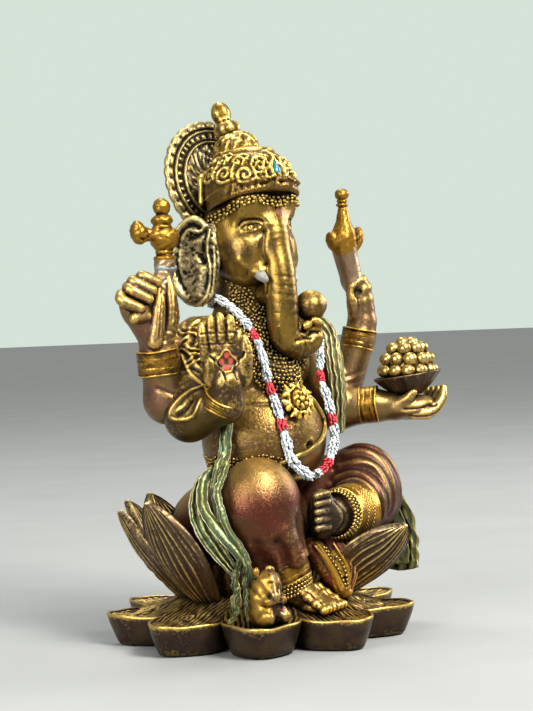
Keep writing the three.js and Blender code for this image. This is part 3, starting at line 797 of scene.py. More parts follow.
def trunk_rings(clay):
    """Shallow folds across the lower half of the trunk, and five short wrinkles across its front."""
    path = even_path(TRUNK, 0.35)
    run = 0.35 * np.arange(len(path))

    def height(p):
        near = (p[:, 2] < 68) & (p[:, 1] < -4)
        push = np.zeros(len(p))
        gap = np.linalg.norm(p[near][:, None] - path[None, :, :3], axis=2)
        s = run[gap.argmin(1)] + 0.2 * np.sin(1.7 * p[near][:, 0] + 0.8 * p[near][:, 2])
        strength = np.clip((s - 13) / 10, 0, 1)
        push[near] = 0.018 * strength * np.cos(2 * math.pi * s / 1.35)
        return push

    clay.ripple(height)
    for k in range(5):
        z = 61.5 - 1.5 * k
        clay.groove([(-1.5, -9.4, z), (0.2, -10.8, z - 0.3), (1.7, -9.6, z - 0.1)], 0.3, 0.04)


def head_clay():
    """Skull, brows, cheeks, trunk with its two fingers, lips and eyes."""
    clay = Clay()
    clay.add(Lump((0, 0, 68.8), (7.5, 7.8, 9.6)))
    clay.add(*pair((3.1, -4.5, 74), (3.4, 3.4, 3.6)), soft=1.6)
    clay.add(*pair((3.3, -3.4, 65.2), (3.6, 3.9, 5)), soft=2.2)
    clay.add(Coil(TRUNK), soft=1.5)
    clay.add(*pair((3.1, -6.3, 62.7), (1.4, 1.9, 1.4), (20, 0, 8)), soft=0.8)
    clay.add(Lump((0, -5.4, 58.6), (2.4, 2.6, 1.6)), soft=1.4)  # lower lip, behind the trunk
    clay.add(Lump((5.2, -11.4, 53.6), (1.5, 0.9, 0.75), (0, 20, 20)), soft=0.3)  # finger at the trunk's tip
    clay.add(Lump((3.2, -11.2, 53.2), (1.1, 0.8, 0.7), (0, -20, 0)), soft=0.3)
    for side in (-1, 1):
        carve_eye(clay, side)
        clay.groove([(side * 2.9, -8, 69), (side * 3.1, -7.6, 66), (side * 2.9, -8.2, 63.8)], 0.55, 0.35)
        clay.groove([(side * 4.2, -7, 61.6), (side * 3, -8, 60.6), (side * 2.6, -8, 59)], 0.4, 0.4)
        clay.ridge([(side * 6.2, -5.4, 64.6), (side * 4.4, -7.4, 61.4), (side * 2.8, -8, 58.6)], 0.8, 0.25)
        clay.groove([(side * 1.2, -9.2, 76), (side * 0.5, -9.2, 73.4)], 0.5, 0.14)
    clay.groove([(0.6, -11.3, 50.6), (2.6, -11.6, 51.4), (4, -11.8, 52), (5.4, -11.6, 51.8)], 0.35, 0.35)
    clay.groove([(1.6, -11.2, 53.2), (2.4, -11.2, 51.6), (3.6, -11.2, 50.8)], 0.3, 0.3)
    trunk_rings(clay)
    return clay


HEAD = head_clay()
FOREHEAD = HEAD.settle([(0.4, -8.3, 72.2)])[0]
fire("head", HEAD, FACE, 0.16, spots=[(FOREHEAD, (0.45, 0.8, 0.85))])


def trunk_sweet():
    """The sweet in the trunk's tip: a ball rolled by hand, so slightly uneven."""
    centre, radius = np.array([5.6, -9.6, 56.3]), 2.65
    co, faces = BALLS[4]
    dents = 0.03 * np.sin(co @ (np.array([3.1, 2.3, 2.7]) + 0.3))
    wobble = 1 + dents + 0.02 * np.sin(co @ np.array([5.0, 6.1, 4.2]))
    piece = mesh_piece("trunk_sweet", centre + radius * co * wobble[:, None], faces)
    relief(piece)
    finish_piece(piece, SKIN, ["trunk_sweet"])


trunk_sweet()


def tusk(name, side, length):
    """A short blunt tusk with a groove where it leaves the cheek."""
    clay = Clay()
    root = np.array([side * 3.2, -6.0, 62.9])
    tip = np.array([side * 3.9, -5.6 - length, 61.0])
    clay.add(Coil([(*root, 1.05), (*(0.5 * (root + tip) + [0, 0, -0.15]), 0.95), (*tip, 0.6)]))
    clay.groove([root + [side * 1.2, -1.2, 0.6], root + [side * 1.2, -1.2, -1]], 0.25, 0.15)
    fire(name, clay, IVORY, 0.14)


tusk("right_tusk", -1, 3.6)
tusk("left_tusk", 1, 2.0)


def ear(name, side):
    """A cupped ear swept back from the cheek, with a rolled rim, ridges and folds near its root, and fine
    wrinkles.
    """
    spread = np.array([math.cos(math.radians(55)), side * math.sin(math.radians(55)), 0.0]) * side
    face = unit(np.cross(spread, Z) * side)
    face = face if face[1] < 0 else -face
    heart = np.array([side * 9.9, 2.1, 65.0])
    turn = (0, 0, side * 55)
    clay = Clay()
    clay.add(Lump(heart, (4.5, 1.15, 7.2), turn), Lump((side * 9.9, 2.0, 60.6), (3.2, 1.05, 3.7), turn),
             soft=1.6)
    clay.add(Limb((side * 6.6, 0.4, 70), (side * 7.4, 0.6, 61), 1.3, 1.0), soft=1.2)
    clay.ripple(lambda p: -0.55
                * np.exp(-((((p - heart) @ spread) / 2.6) ** 2 + ((p - heart)[:, 2] / 4.6) ** 2))
                * np.clip((p - heart) @ face, 0, 1))

    def on(a, b):
        return heart + a * spread + b * Z + 1.2 * face

    rim = [on(4.0 * math.cos(t), 6.9 * math.sin(t)) for t in np.radians(np.linspace(120, -70, 26))]
    clay.ridge(rim, 0.5, 0.5)
    inner = [on(3.1 * math.cos(t), 5.8 * math.sin(t)) for t in np.radians(np.linspace(115, -60, 24))]
    clay.groove(inner, 0.4, 0.32)
    clay.ridge([on(-2.7, 5.6), on(-1.2, 4.6), on(0.6, 4.9), on(1.9, 3.4)], 0.35, 0.4)
    clay.groove([on(-2.2, 4.6), on(-0.8, 3.9), on(0.6, 3.6)], 0.6, 0.4)
    clay.ridge([on(-3.2, 4.8), on(-2.6, 1.5), on(-3.1, -2.2), on(-2.4, -6.0), on(-0.6, -8.0)], 0.3, 0.5)
    clay.ridge([on(-3.9, 1.8), on(-3.9, -2.0), on(-3.2, -6.0), on(-1.4, -8.4)], 0.24, 0.35)
    clay.groove([on(-1.9, 2.2), on(-1.5, 0.6), on(-1.9, -0.6)], 0.6, 0.6)
    clay.ridge([on(-1.7, -1.6), on(-1.3, -4.0), on(-1.0, -6.0)], 0.9, 0.35)

    def wrinkles(p):
        slow = 0.1 * np.sin(1.3 * p[:, 2] + 0.9 * np.sin(1.2 * p[:, 0]))
        fine = 0.05 * np.sin(4.1 * p[:, 2] + 2 * np.sin(3.1 * p[:, 0]))
        return slow + fine * np.sin(3.7 * p[:, 1] + 3.1 * p[:, 0])

    clay.ripple(wrinkles)
    fire(name, clay, ROUGH, 0.18)


ear("right_ear", -1)
ear("left_ear", 1)


# ---------------------------------------------------------------- crown

DOME = np.array([0.0, -1.3, 76.2])
BRIM = unit([0.0, 0.276, 0.961])  # the crown leans back
BRIM_HEART = np.array([0.0, -1.85, 74.2])
JEWEL = middle("crown_jewel")


def on_dome(azimuth, elevation):
    """A point just off the crown's dome; azimuth 0 is its front."""
    a, e = math.radians(azimuth), math.radians(elevation)
    return DOME + 8.0 * np.array([math.cos(e) * math.sin(a), -math.cos(e) * math.cos(a), math.sin(e)])


def brim_point(along, radius, t):
    """A point beside the crown's axis: along it, out from it, and round it by t radians from the front."""
    return BRIM_HEART + along * BRIM + radius * (math.sin(t) * X - math.cos(t) * np.cross(BRIM, X))


def crown_clay():
    """A dome on a rolled brim, with scrolls and leaves in relief, two rosettes and the jewel's setting."""
    clay = Clay()
    clay.add(Lump(DOME, (7.8, 7.8, 7.9)))
    clay.cut(Slab(BRIM_HEART - 0.2 * BRIM, BRIM), soft=0.2)
    clay.add(Ring(BRIM_HEART + 0.2 * BRIM, BRIM, 7.5, (0.34, 0.4)), soft=0.4)
    clay.add(Ring(BRIM_HEART + 1.9 * BRIM, BRIM, 7.5, (0.26, 0.16)), soft=0.3)
    for azimuth in range(-165, 180, 30):
        hand = 1 if azimuth > 0 else -1
        lift = 21 - 4 * math.cos(math.radians(azimuth))
        spiral(clay, on_dome(azimuth, lift), 1.85, 1.5, hand, 0.4, 0.38, start=math.pi * (hand > 0))
        spiral(clay, on_dome(azimuth + 13 * hand, lift + 19), 1.15, 1.1, -hand, 0.36, 0.32)
        leaf = [on_dome(azimuth + 15, lift - 8), on_dome(azimuth + 11, lift + 4),
                on_dome(azimuth + 16, lift + 13)]
        clay.ridge(leaf, 0.3, 0.36)
        clay.ridge([on_dome(azimuth - 4, lift + 14), on_dome(azimuth + 3, lift + 24)], 0.28, 0.32)
        low_leaf = [on_dome(azimuth - 9, lift - 9), on_dome(azimuth - 2, lift - 11),
                    on_dome(azimuth + 7, lift - 9)]
        clay.ridge(low_leaf, 0.24, 0.26)
        top_leaf = [on_dome(azimuth - 13, lift + 27), on_dome(azimuth - 4, lift + 31),
                    on_dome(azimuth + 5, lift + 28)]
        clay.ridge(top_leaf, 0.26, 0.28)
    for turn in range(-64, 65, 8):
        curl = [brim_point(0.1, 7.9, math.radians(turn)), brim_point(1.6, 7.9, math.radians(turn + 5))]
        clay.ridge(curl, 0.5, 0.42)
    for azimuth in (-24, 24):
        on, level, up, _ = tangents(clay, on_dome(azimuth, 30))
        clay.ridge(arc(on, level, up, 1.5, 1.5, 0, 360, 30), 0.3, 0.4)
        clay.ridge(arc(on, level, up, 0.5, 0.5, 0, 360, 12), 0.4, 0.4)
    on, level, up, _ = tangents(clay, JEWEL)
    outline = ((0, 2.3), (-0.9, 0.9), (-1.35, -0.4), (-0.9, -1.5), (0, -1.9),
               (0.9, -1.5), (1.35, -0.4), (0.9, 0.9), (0, 2.3))
    clay.ridge([on + a * level + b * up for a, b in outline], 0.34, 0.6)
    clay.ridge([on + 3.0 * up, on + 4.4 * up], 0.7, 0.6)
    for a, b in ((-2.1, -2.5), (-0.75, -2.9), (0.75, -2.9), (2.1, -2.5), (-3.3, -1.8), (3.3, -1.8)):
        spot = on + a * level + b * up
        clay.ridge([spot, spot + 0.1 * up], 0.5, 0.6)
    tie = ((-5.7, 4.3, 79.3, 0.4), (-6.5, 3.6, 78.5, 0.75), (-6.8, 3.3, 77.2, 0.6), (-6.9, 3.3, 75.8, 0.5),
           (-7.0, 3.2, 74.4, 0.55))
    for side in (-1, 1):
        clay.add(Coil([(-side * x, y, z, r) for x, y, z, r in tie]), soft=0.15)
    ring = [DOME + 4.6 * np.array([math.cos(t), math.sin(t), 0]) + [0, 1.3, 6.2]
            for t in np.linspace(0, 6.28, 50)]
    clay.ridge(ring, 0.45, 0.45)
    return clay


CROWN = crown_clay()
crown = fire("crown", CROWN, CROWN_GOLD, 0.16)
store(crown, "edge", np.clip(2.3 - (vertices(crown) - BRIM_HEART) @ BRIM, 0, 1))


def brow_beads():
    """Three rows of beads under the brim, from ear to ear."""
    rows = []
    for drop, lift in ((0.75, 0.14), (1.6, 0.12), (2.4, 0.08)):
        ring = [brim_point(-drop, 9.5, t) for t in np.radians(np.arange(-112, 113, 1.0))]
        rows.append(even_path(HEAD.settle(ring, lift)[::4], 0.92))
    places = np.vstack(rows)
    return places[places[:, 1] < 4.5]


def hand_set(name, places, scatter, size, uneven):
    """Gold beads that are a little out of line and of uneven size."""
    piece = beads(name, places + rng.normal(0, scatter, places.shape),
                  size + rng.normal(0, uneven, len(places)))
    relief(piece, 1)
    finish_piece(piece, BEAD, [])


hand_set("brow_beads", brow_beads(), 0.12, 0.36, 0.03)


def jewel():
    """A drop, pointed at the top and domed."""
    on, level, up, n = tangents(CROWN, JEWEL)
    rows, columns = 14, 40
    a = np.linspace(0, 2 * math.pi, columns, endpoint=False)
    point = np.clip(np.sin(a), 0, 1) ** 3
    wide = 1.0 * np.cos(a) * (1 - 0.55 * np.clip(np.sin(a), 0, 1))
    tall = 1.35 * np.sin(a) + 0.55 * point
    r = np.sin(np.linspace(0.03, 1, rows) * math.pi / 2)[:, None]
    out = 0.95 * np.cos(np.linspace(0.03, 1, rows) * math.pi / 2)[:, None] - 0.25
    points = on + r[..., None] * (wide[None, :, None] * level + tall[None, :, None] * up) + out[..., None] * n
    points = np.vstack([points.reshape(-1, 3), [on + 0.7 * n, on - 0.9 * n]])
    faces = grid_faces(rows, columns, closed=True)[:, ::-1].tolist()
    last = (rows - 1) * columns
    top, bottom = rows * columns, rows * columns + 1
    faces += [(top, c, (c + 1) % columns) for c in range(columns)]
    faces += [(bottom, last + (c + 1) % columns, last + c) for c in range(columns)]
    finish_piece(mesh_piece("crown_jewel", points, faces), TURQUOISE, ["crown_jewel"])


jewel()


def lathe_profile(points, count=70):
    """A smooth profile through (radius, height) points."""
    return smooth_path([(r, h, 0, 0) for r, h in points], count)[:, :2]


def topknot():
    """The bun above the crown: fluted, in two scalloped tiers."""
    axis = unit([0, 0.407, 0.914])
    foot = middle("crown_topknot") - 3.3 * axis + [0, 0, 0.1]
    profile = lathe_profile([(0.3, 0), (3.5, 0.5), (4.0, 1.6), (3.9, 2.5), (3.6, 3.0), (3.55, 3.4),
                             (2.9, 4.2), (1.7, 4.8), (0.2, 5.0)])

    def bulge(r, h, a):
        lower = np.abs(np.cos(5 * a + 0.5 * np.sin(2 * h)))
        upper = np.abs(np.sin(5 * a))
        tier = 1 / (1 + np.exp(-(h - 3.2 - 0.25 * np.cos(10 * a)) / 0.12))
        leaf = 0.26 * (lower * (1 - tier) + upper * tier) * np.clip(r / 2.5, 0, 1)
        folds = 0.13 * np.cos(7 * a + 1.9 * h + np.sin(3 * a)) + 0.06 * np.cos(13 * a - 2.6 * h)
        return leaf + folds * np.clip(r / 2, 0, 1) - 0.2, 0 * r

    turned_piece("crown_topknot", CROWN_GOLD, "gold", profile, foot, axis, 168, bulge)


def finial():
    """The bud on top of the bun, on its ringed foot."""
    axis = unit([0, 0.454, 0.891])
    foot = np.array([0, 4.0, 86.75])
    profile = lathe_profile([
        (0.1, -1.0), (1.6, -0.9), (2.2, -0.3), (2.3, 0.4), (2.05, 1.1), (1.5, 1.6), (1.2, 1.9), (1.3, 2.15),
        (1.35, 2.5), (1.6, 3.1), (1.72, 3.8), (1.5, 4.8), (0.95, 5.6), (0.15, 6.1),
    ], 90)

    def bulge(r, h, a):
        return 0.07 * np.cos(8 * a) * np.clip(r, 0, 1) * (h < 2) + 0.05 * np.cos(5 * a + h), 0 * r

    turned_piece("crown_finial", CROWN_GOLD, "gold", profile, foot, axis, 72, bulge)


def halo():
    """The disc behind the head: a scalloped rim, two ridges, a row of dentils and a field of curls."""
    axis = unit([0, -0.978, 0.208])
    foot = np.array([0, 7.9, 78.6])
    r = np.concatenate([np.linspace(0.2, 10.5, 110), [10.75, 10.85, 10.75, 10.4], np.linspace(10, 0.2, 40)])
    h = np.concatenate([np.full(110, 0.55), [0.35, 0.0, -0.35, -0.6], np.full(40, -0.75)])

    def bulge(r, h, a):
        face = (h > 0.5).astype(float)
        ridges = 0.45 * hill(r - 9.0, 0.2) + 0.45 * hill(r - 7.1, 0.22)
        rim = 0.32 * (np.abs(np.cos(15 * a)) ** 0.7) * hill(r - 9.95, 0.42)
        dentils = 0.2 * np.cos(40 * a + 1.2 * np.sin(5 * a)) * hill(r - 8.05, 0.42)
        groove = -0.3 * hill(r - 9.45, 0.14) - 0.3 * hill(r - 7.5, 0.16)
        x, y = r * np.cos(a), r * np.sin(a)
        curls = np.sin(1.9 * x + 2.1 * np.sin(1.3 * y)) * np.sin(2.2 * y + 1.7 * np.sin(1.1 * x))
        tangle = 0.16 * curls * (r < 6.8) - 0.1
        back = 0.3 * np.cos(15 * a) ** 2 * hill(r - 9.4, 0.9) + 0.25 * hill(r - 6.5, 0.4)
        uneven = 0.05 * np.sin(23 * a + 3 * r) * np.sin(2.3 * r + 7 * a)
        dh = uneven + face * (ridges + rim + dentils + groove + tangle) - (1 - face) * (h < -0.6) * back
        return 0.2 * np.abs(np.cos(15 * a)) * hill(r - 10.8, 0.5) - 0.1, dh

    turned_piece("halo", HALO, "bronze", np.stack([r, h], axis=1)[::-1], foot, axis, 360, bulge)


topknot()
finial()
halo()


# ---------------------------------------------------------------- body and legs


def shoulder_tangle(p):
    """Knotted curls over the shoulder, under the right ear."""
    near = mound(p, [-11.4, -3.0, 51.2], [5.6, 6.0, 4.4])
    knots = np.sin(2.6 * p[:, 0] + 2 * np.sin(1.9 * p[:, 2])) * np.sin(2.9 * p[:, 2] + 1.8
                  * np.sin(2.1 * p[:, 1]))
    return 0.5 * near * knots


def torso_clay():
    """Hips, belly, chest, shoulders and neck in one, with the hem under the belly and folds behind it."""
    clay = Clay()
    clay.add(Lump((0, 2.5, 20.5), (12.5, 10, 7)), Lump((0, -2.6, 34), (10.8, 10.4, 10.6)), soft=3)
    clay.add(Lump((0, 1.6, 46), (10.6, 7.4, 9)), soft=2)
    clay.add(Limb((-10, 1.8, 51), (10, 1.8, 51), 4.3), Limb((0, 1.2, 52), (0, 0.8, 61), 5.6, 5.4), soft=2)
    clay.add(*pair((5, -3.6, 46.4), (4.4, 3.2, 3.8)), soft=2)
    clay.ripple(lambda p: -0.7 * mound(p, [1.4, -12.9, 33], [1.0, 1.2, 0.9]))  # navel
    clay.ridge([(0.2, -13, 33), (1.4, -13, 34.1), (2.6, -12.8, 33), (1.4, -13, 31.9), (0.2, -13, 33)], 0.4,
               0.25)
    clay.groove([(-10, -4, 41.6), (-6, -9, 40.6), (-2, -12, 41)], 0.5, 0.3)
    clay.ripple(shoulder_tangle)
    clay.ridge([(-10.8, 0, 27.6), (-8, -9.6, 27.0), (0, -12.8, 26.2), (8, -9.6, 27.2), (10.8, 0, 27.8)],
               0.9, 0.5)
    clay.groove([(-10.8, 0, 28.8), (-8, -9.6, 28.3), (0, -12.8, 27.4), (8, -9.6, 28.3), (10.8, 0, 28.8)],
                0.35, 0.35)
    for k in range(10):
        a = math.radians(200 + 14 * k) + math.pi
        start = np.array([10.4 * math.cos(a), 2.5 + 8.6 * math.sin(a), 27])
        clay.groove([start, start + [1.0 * math.cos(a), 1.2 * math.sin(a), -6]], 0.5, 0.35)
    clay.groove([(0, 9.5, 52), (0, 9.6, 44), (0, 10, 34)], 0.8, 0.35)  # spine
    for side in (-1, 1):
        clay.ridge([(side * 3, 9, 51), (side * 6.5, 8.4, 47), (side * 7, 8, 43)], 1.1, 0.3)
    return clay


TORSO = torso_clay()
fire("torso", TORSO, SMOOTH_GOLD, 0.24)


def collar_clay():
    """The mass that the chest's strings of beads lie on."""
    clay = Clay()
    clay.add(Lump((0, 0.4, 50.6), (9.6, 7.6, 6.4), (18, 0, 0)), Lump((0, -2.4, 43.6), (5.8, 7.6, 6.6)),
             soft=1.2)
    clay.cut(Slab((0, 4.6, 50), (0, -1, 0)), soft=0.3)
    return clay


COLLAR = collar_clay()
fire("bead_collar", COLLAR, DARK, 0.24)


def first_met(skin, heart, outward, reach, proud=0.24):
    """Points just off the skin, where rays from outside first meet it on their way to heart."""
    radii = np.linspace(reach, 3, int((reach - 3) / RAY_STEP) + 1)
    probe = heart[:, None] + radii[:, None] * outward[:, None]
    met = (skin(probe.reshape(-1, 3)) < 0).reshape(len(heart), -1).argmax(axis=1)
    return (heart + (radii[met] + proud)[:, None] * outward)[met > 0]


PENDANT = np.array([-0.6, -12.5, 40.6])
RAY_STEP = 0.18  # mm between samples of a ray that looks for the skin


def under_beads(points):
    """How far points are from the collar or the torso, whichever is nearer."""
    return np.minimum(COLLAR.at(points), TORSO.at(points))


def chest_beads():
    """Nested strings: up the neck, from shoulder to shoulder, and short ones down to the pendant."""
    places = []
    for k in range(-12, 26):
        reach = 104 if k < 2 else 72 if k < 17 else 46 - 4 * (k - 17)
        angle = np.radians(np.arange(-reach, reach + 1, 1.5))
        height = 56.4 - 0.68 * k + 4.2 * (np.abs(angle) / 1.2) ** 1.7
        heart = np.stack([0 * angle, 0.4 + 0 * angle, height], axis=1)
        outward = np.stack([np.sin(angle), -np.cos(angle), 0 * angle], axis=1)
        line = first_met(under_beads, heart, outward, 14)
        if len(line) > 6:
            places.append(even_path(line[::3], 0.6 + 0.08 * (k % 3)))
    places = np.vstack(places)
    clear = np.linalg.norm(places - PENDANT, axis=1) > 3.0
    on_skin = np.abs(under_beads(places)) < 0.5
    under_head = HEAD.at(places) > 0.2
    return places[clear & on_skin & under_head & (places[:, 2] < 62.5)]


def waist_beads():
    """The beaded edge of the waistcloth, in five rows below the belly."""
    angle = np.radians(np.arange(-115, -12, 1.5))
    outward = np.stack([np.sin(angle), -np.cos(angle), 0 * angle], axis=1)
    rows = []
    for k in range(5):
        heart = np.stack([0 * angle, -2 + 0 * angle, 31.5 - 0.6 * k + 0.3 * np.cos(9 * angle)], axis=1)
        rows.append(even_path(first_met(TORSO.at, heart, outward, 17, 0.16)[::3], 0.64 + 0.06 * (k % 2)))
    places = np.vstack(rows)
    return places[np.abs(TORSO.at(places)) < 0.4]


hand_set("chest_beads", chest_beads(), 0.09, 0.29, 0.035)
hand_set("waist_beads", waist_beads(), 0.08, 0.27, 0.035)


def sun():
    """A sun pendant: a ringed dome in two steps, and a wreath of wavy rays."""
    normal = unit([0, -0.94, 0.34])
    up = unit(np.cross(normal, [-1, 0, 0]))
    up = up if up[2] > 0 else -up

    def on(radius, a, proud=0.0):
        return PENDANT + radius * (math.cos(a) * X + math.sin(a) * up) + proud * normal

    clay = Clay()
    clay.add(Ring(PENDANT, normal, 1.5, (0.8, 0.6)), Lump(PENDANT, (2.1, 1.15, 2.1)), soft=0.3)
    for k in range(14):
        a = 2 * math.pi * k / 14
        far = 3.5 if k % 2 else 3.0
        bend = 0.13 if k % 2 else -0.1
        ray = [(*on(1.8, a), 0.7), (*on(2.4, a + bend), 0.62), (*on(2.85, a), 0.42),
               (*on(far, a - 0.6 * bend), 0.16)]
        clay.add(Coil(ray, 8), soft=0.12)
    clay.groove([on(1.85, t, 0.6) for t in np.linspace(0, 6.28, 34)], 0.22, 0.18)
    for k in range(7):
        a = 2 * math.pi * k / 7
        clay.ridge([on(1.0, a, 0.9), on(1.3, a + 0.25, 0.8)], 0.34, 0.3)
    clay.ridge([on(0.05, 0, 1.1), on(0.05, 3.1, 1.1)], 0.42, 0.3)
    fire("sun_pendant", clay, GOLD, 0.11, box=(PENDANT - 4.2, PENDANT + 4.2))


sun()


def right_leg():
    """The raised knee, its cloth hanging in deep folds to the anklet."""
    clay = Clay()
    clay.add(Limb((-8, 2, 20), (-8, -8.5, 23), 7), Lump((-8, -10.2, 23.4), (7.2, 6.8, 8.3)), soft=1.5)
    clay.add(Limb((-7.2, -11.2, 19), (-5.8, -12.4, 14.6), 6.2, 4.9), soft=1.5)

    def drape(turn, high_z, low_z):
        """A line down the cloth: turn is measured in degrees from straight ahead of the camera side."""
        line = []
        for z in np.linspace(high_z, low_z, 7):
            share = (19 - z) / 4.4
            heart = np.array([-7.2 + 1.4 * share, -11.2 - 1.2 * share, z])
            a = math.radians(turn + 4 * math.sin(0.9 * z + turn))
            reach = 6.6 - 1.2 * share
            line.append(heart + reach * np.array([-0.643 * math.cos(a) + 0.766 * math.sin(a),
                                                  -0.766 * math.cos(a) - 0.643 * math.sin(a), 0]))
        return clay.settle(line)

    for turn, high_z, depth in ((-52, 19, 0.3), (-22, 18, 0.45), (12, 18, 0.8), (68, 21, 0.6)):
        clay.groove(drape(turn, high_z, 13.2), 0.9, depth)
    for turn, high_z, depth in ((-38, 17, 0.2), (-6, 17, 0.2), (39, 18, 0.9)):
        clay.ridge(drape(turn, high_z, 13.2), 1.9, depth)
    hang = unit([-0.3, 0.2, 1.0])
    clay.cut(Slab((-5.3, -12.6, 13.5), hang), soft=0.35)
    clay.groove([(-14.6, -6, 27), (-14.6, -9, 22), (-13.2, -11.4, 16)], 0.4, 0.3)
    clay.groove([(-14.4, -3, 26), (-14.9, -6, 20.6), (-13.6, -9, 15)], 0.4, 0.3)
    clay.groove([(-11.8, -6.2, 29.4), (-13.6, -9.6, 27), (-14.4, -11, 23.4)], 0.9, 0.2)
    for k in range(4):
        x = -13.4 + 1.9 * k
        clay.groove([(x, 1, 25.5 + 0.5 * k), (x + 0.6, -3.5, 27.5 + 0.5 * k), (x + 1.6, -6, 28.5)], 0.4, 0.3)
    fire("right_leg", clay, CLOTH, 0.2)


def left_leg():
    """The folded leg: cloth drawn round the knee in long curved folds."""
    clay = Clay()
    clay.add(Limb((7, 2.5, 21), (17.6, -5.6, 24.4), 7, 6.6), Lump((18.8, -6.8, 24.2), (6.6, 6.2, 7.7)),
             soft=1.5)
    clay.add(Limb((18, -8, 22.4), (7.8, -13.4, 20.6), 6, 4.2), soft=1.5)
    folds = ([(9.8, -10.4, 25.6), (12.2, -12.0, 26.0), (13.4, -14.4, 24.2), (13.4, -15.8, 21.6),
              (13.0, -15.6, 18.6)], [(11.0, -8.6, 26.8), (13.2, -9.9, 27.0), (14.8, -13.1, 25.7),
             (15.3, -14.4, 23.7), (15.9, -14.6, 20.3)],
             [(12.4, -7.8, 28.6), (14.4, -9.6, 28.8), (16.8, -11.6, 28.2), (17.6, -13.2, 25.4),
              (17.2, -14.2, 21.5)], [(14.6, -7.4, 30.4), (17.0, -9.2, 30.4), (18.9, -11.4, 28.6),
             (19.4, -12.8, 25.2), (18.8, -13.4, 21.0)],
             [(17.0, -6.8, 31.6), (19.6, -9.4, 30.6), (21.2, -10.8, 28.0), (21.6, -11.6, 24.6),
              (20.8, -12.0, 20.4)])
    for k, fold in enumerate(folds):
        clay.ridge(fold, 0.85, 0.42 - 0.04 * k)
        below = [(x - 0.8, y + 0.2, z - 1.0) for x, y, z in fold]
        clay.groove(below, 0.6, 0.32 - 0.03 * k)
    for x, y in ((10, -3), (12.6, -1), (15, 0.6), (18, 1.4), (21.6, 0)):
        clay.groove([(x, y, 30), (x + 1.2, y + 2.6, 26), (x + 0.6, y + 3.4, 20)], 0.45, 0.35)
    for k in range(5):
        x = 9 + 2.4 * k
        clay.groove([(x, -15.6 + 0.9 * k, 18.5), (x + 0.8, -13 + 0.9 * k, 16.6), (x + 1.4, -9 + k, 16)],
                    0.4, 0.4)
    fire("left_leg", clay, RED_CLOTH, 0.2)


right_leg()
left_leg()


def toe(clay, start, end, size=0.78, knobs=4):
    """A toe carved as a row of rounded knobs."""
    start, end = np.asarray(start, float), np.asarray(end, float)
    for k in range(knobs):
        at = start + (end - start) * k / (knobs - 1)
        clay.add(Lump(at, (size, size, size * 0.95)), soft=0.14)


def right_foot():
    """The foot on the ground, its long toes carved as rows of knobs."""
    clay = Clay()
    clay.add(Coil([(-4.6, -12.8, 12, 3.0), (-3.8, -14.4, 9.2, 2.6), (-2.4, -16.6, 7.5, 2.0)]), soft=0.5)
    clay.add(Lump((-1.7, -17.2, 6.9), (3.3, 2.7, 1.4)), soft=0.8)
    for k in range(6):
        x = -5.0 + 1.28 * k
        start = (x, -15.9 + 0.45 * k, 9.6 - 0.05 * k)
        end = (x + 1.6, -20.3 + 0.5 * k, 6.6)
        clay.add(Limb(start, end, 0.62, 0.55), soft=0.15)
        toe(clay, start, end)
    fire("right_foot", clay, SKIN, 0.15, spare=1.5)


def left_foot():
    """The sole of the folded leg's foot, with its toes to the front."""
    clay = Clay()
    clay.add(Limb((8, -13.6, 20.6), (4.2, -14.4, 21), 3.2), Lump((1.9, -14.6, 21.6), (2.6, 2.3, 4.2)),
             soft=0.8)
    for k in range(5):
        z = 24.9 - 1.35 * k
        clay.add(Limb((1.8, -16.2, z + 0.1), (-0.3, -15.9, z - 0.1), 0.72, 0.62), soft=0.25)
    clay.groove([(3.6, -17, 24), (4.4, -17.4, 21), (3.6, -17, 18.6)], 0.4, 0.2)
    fire("left_foot", clay, TOES, 0.16)


right_foot()
left_foot()


# ---------------------------------------------------------------- bands and bracelets


def cuff(name, centre, axis, profile, studs=0, material=BAND):
    """A worn band round a limb. profile is (radius, height) along the axis, and studs go round its field."""
    profile = lathe_profile(profile, 60)
    low_end, high_end = profile[:, 1].min(), profile[:, 1].max()

    def bulge(r, h, a):
        rise = np.clip(4 * (h - low_end) / (high_end - low_end), 0, 1)
        field = rise * np.clip(4 * (high_end - h) / (high_end - low_end), 0, 1)
        dr = 0.13 * field * np.sin(studs * a) * np.sin(studs * h / profile[:, 0].max() * 0.9)
        dr = dr + 0.05 * field * np.sin(3 * a + 2.2 * h) * np.sin(5 * a - 1.7 * h)
        return dr, 0.06 * np.sin(3 * a + h)

    turned_piece(name, material, "gold", profile, centre, axis, 220, bulge)


def low_band(radius, half, taper=0.0):
    """The profile of a low band with a thin line at each edge and two faint ones across it."""
    inner, line, gap = radius - 0.9, radius + 0.03, radius + 0.01
    steps = [(inner, -half), (radius - 0.06, -half), (radius + 0.06, -half + 0.18), (radius, -half + 0.4),
             (line, -0.4 * half), (gap, -0.3 * half), (line, 0), (gap, 0.3 * half), (line, 0.4 * half),
             (radius, half - 0.4), (radius + 0.08, half - 0.18), (radius - 0.04, half), (inner, half)]
    return [(r + taper * h, h) for r, h in steps]


def bead_ring(centre, axis, radius, count, start):
    """The centres of count beads round an axis."""
    across, over = crosswise(unit(axis))
    a = np.linspace(0, 2 * math.pi, count, endpoint=False) + start
    ring = np.cos(a)[:, None] * across + np.sin(a)[:, None] * over
    return np.asarray(centre) + radius * ring


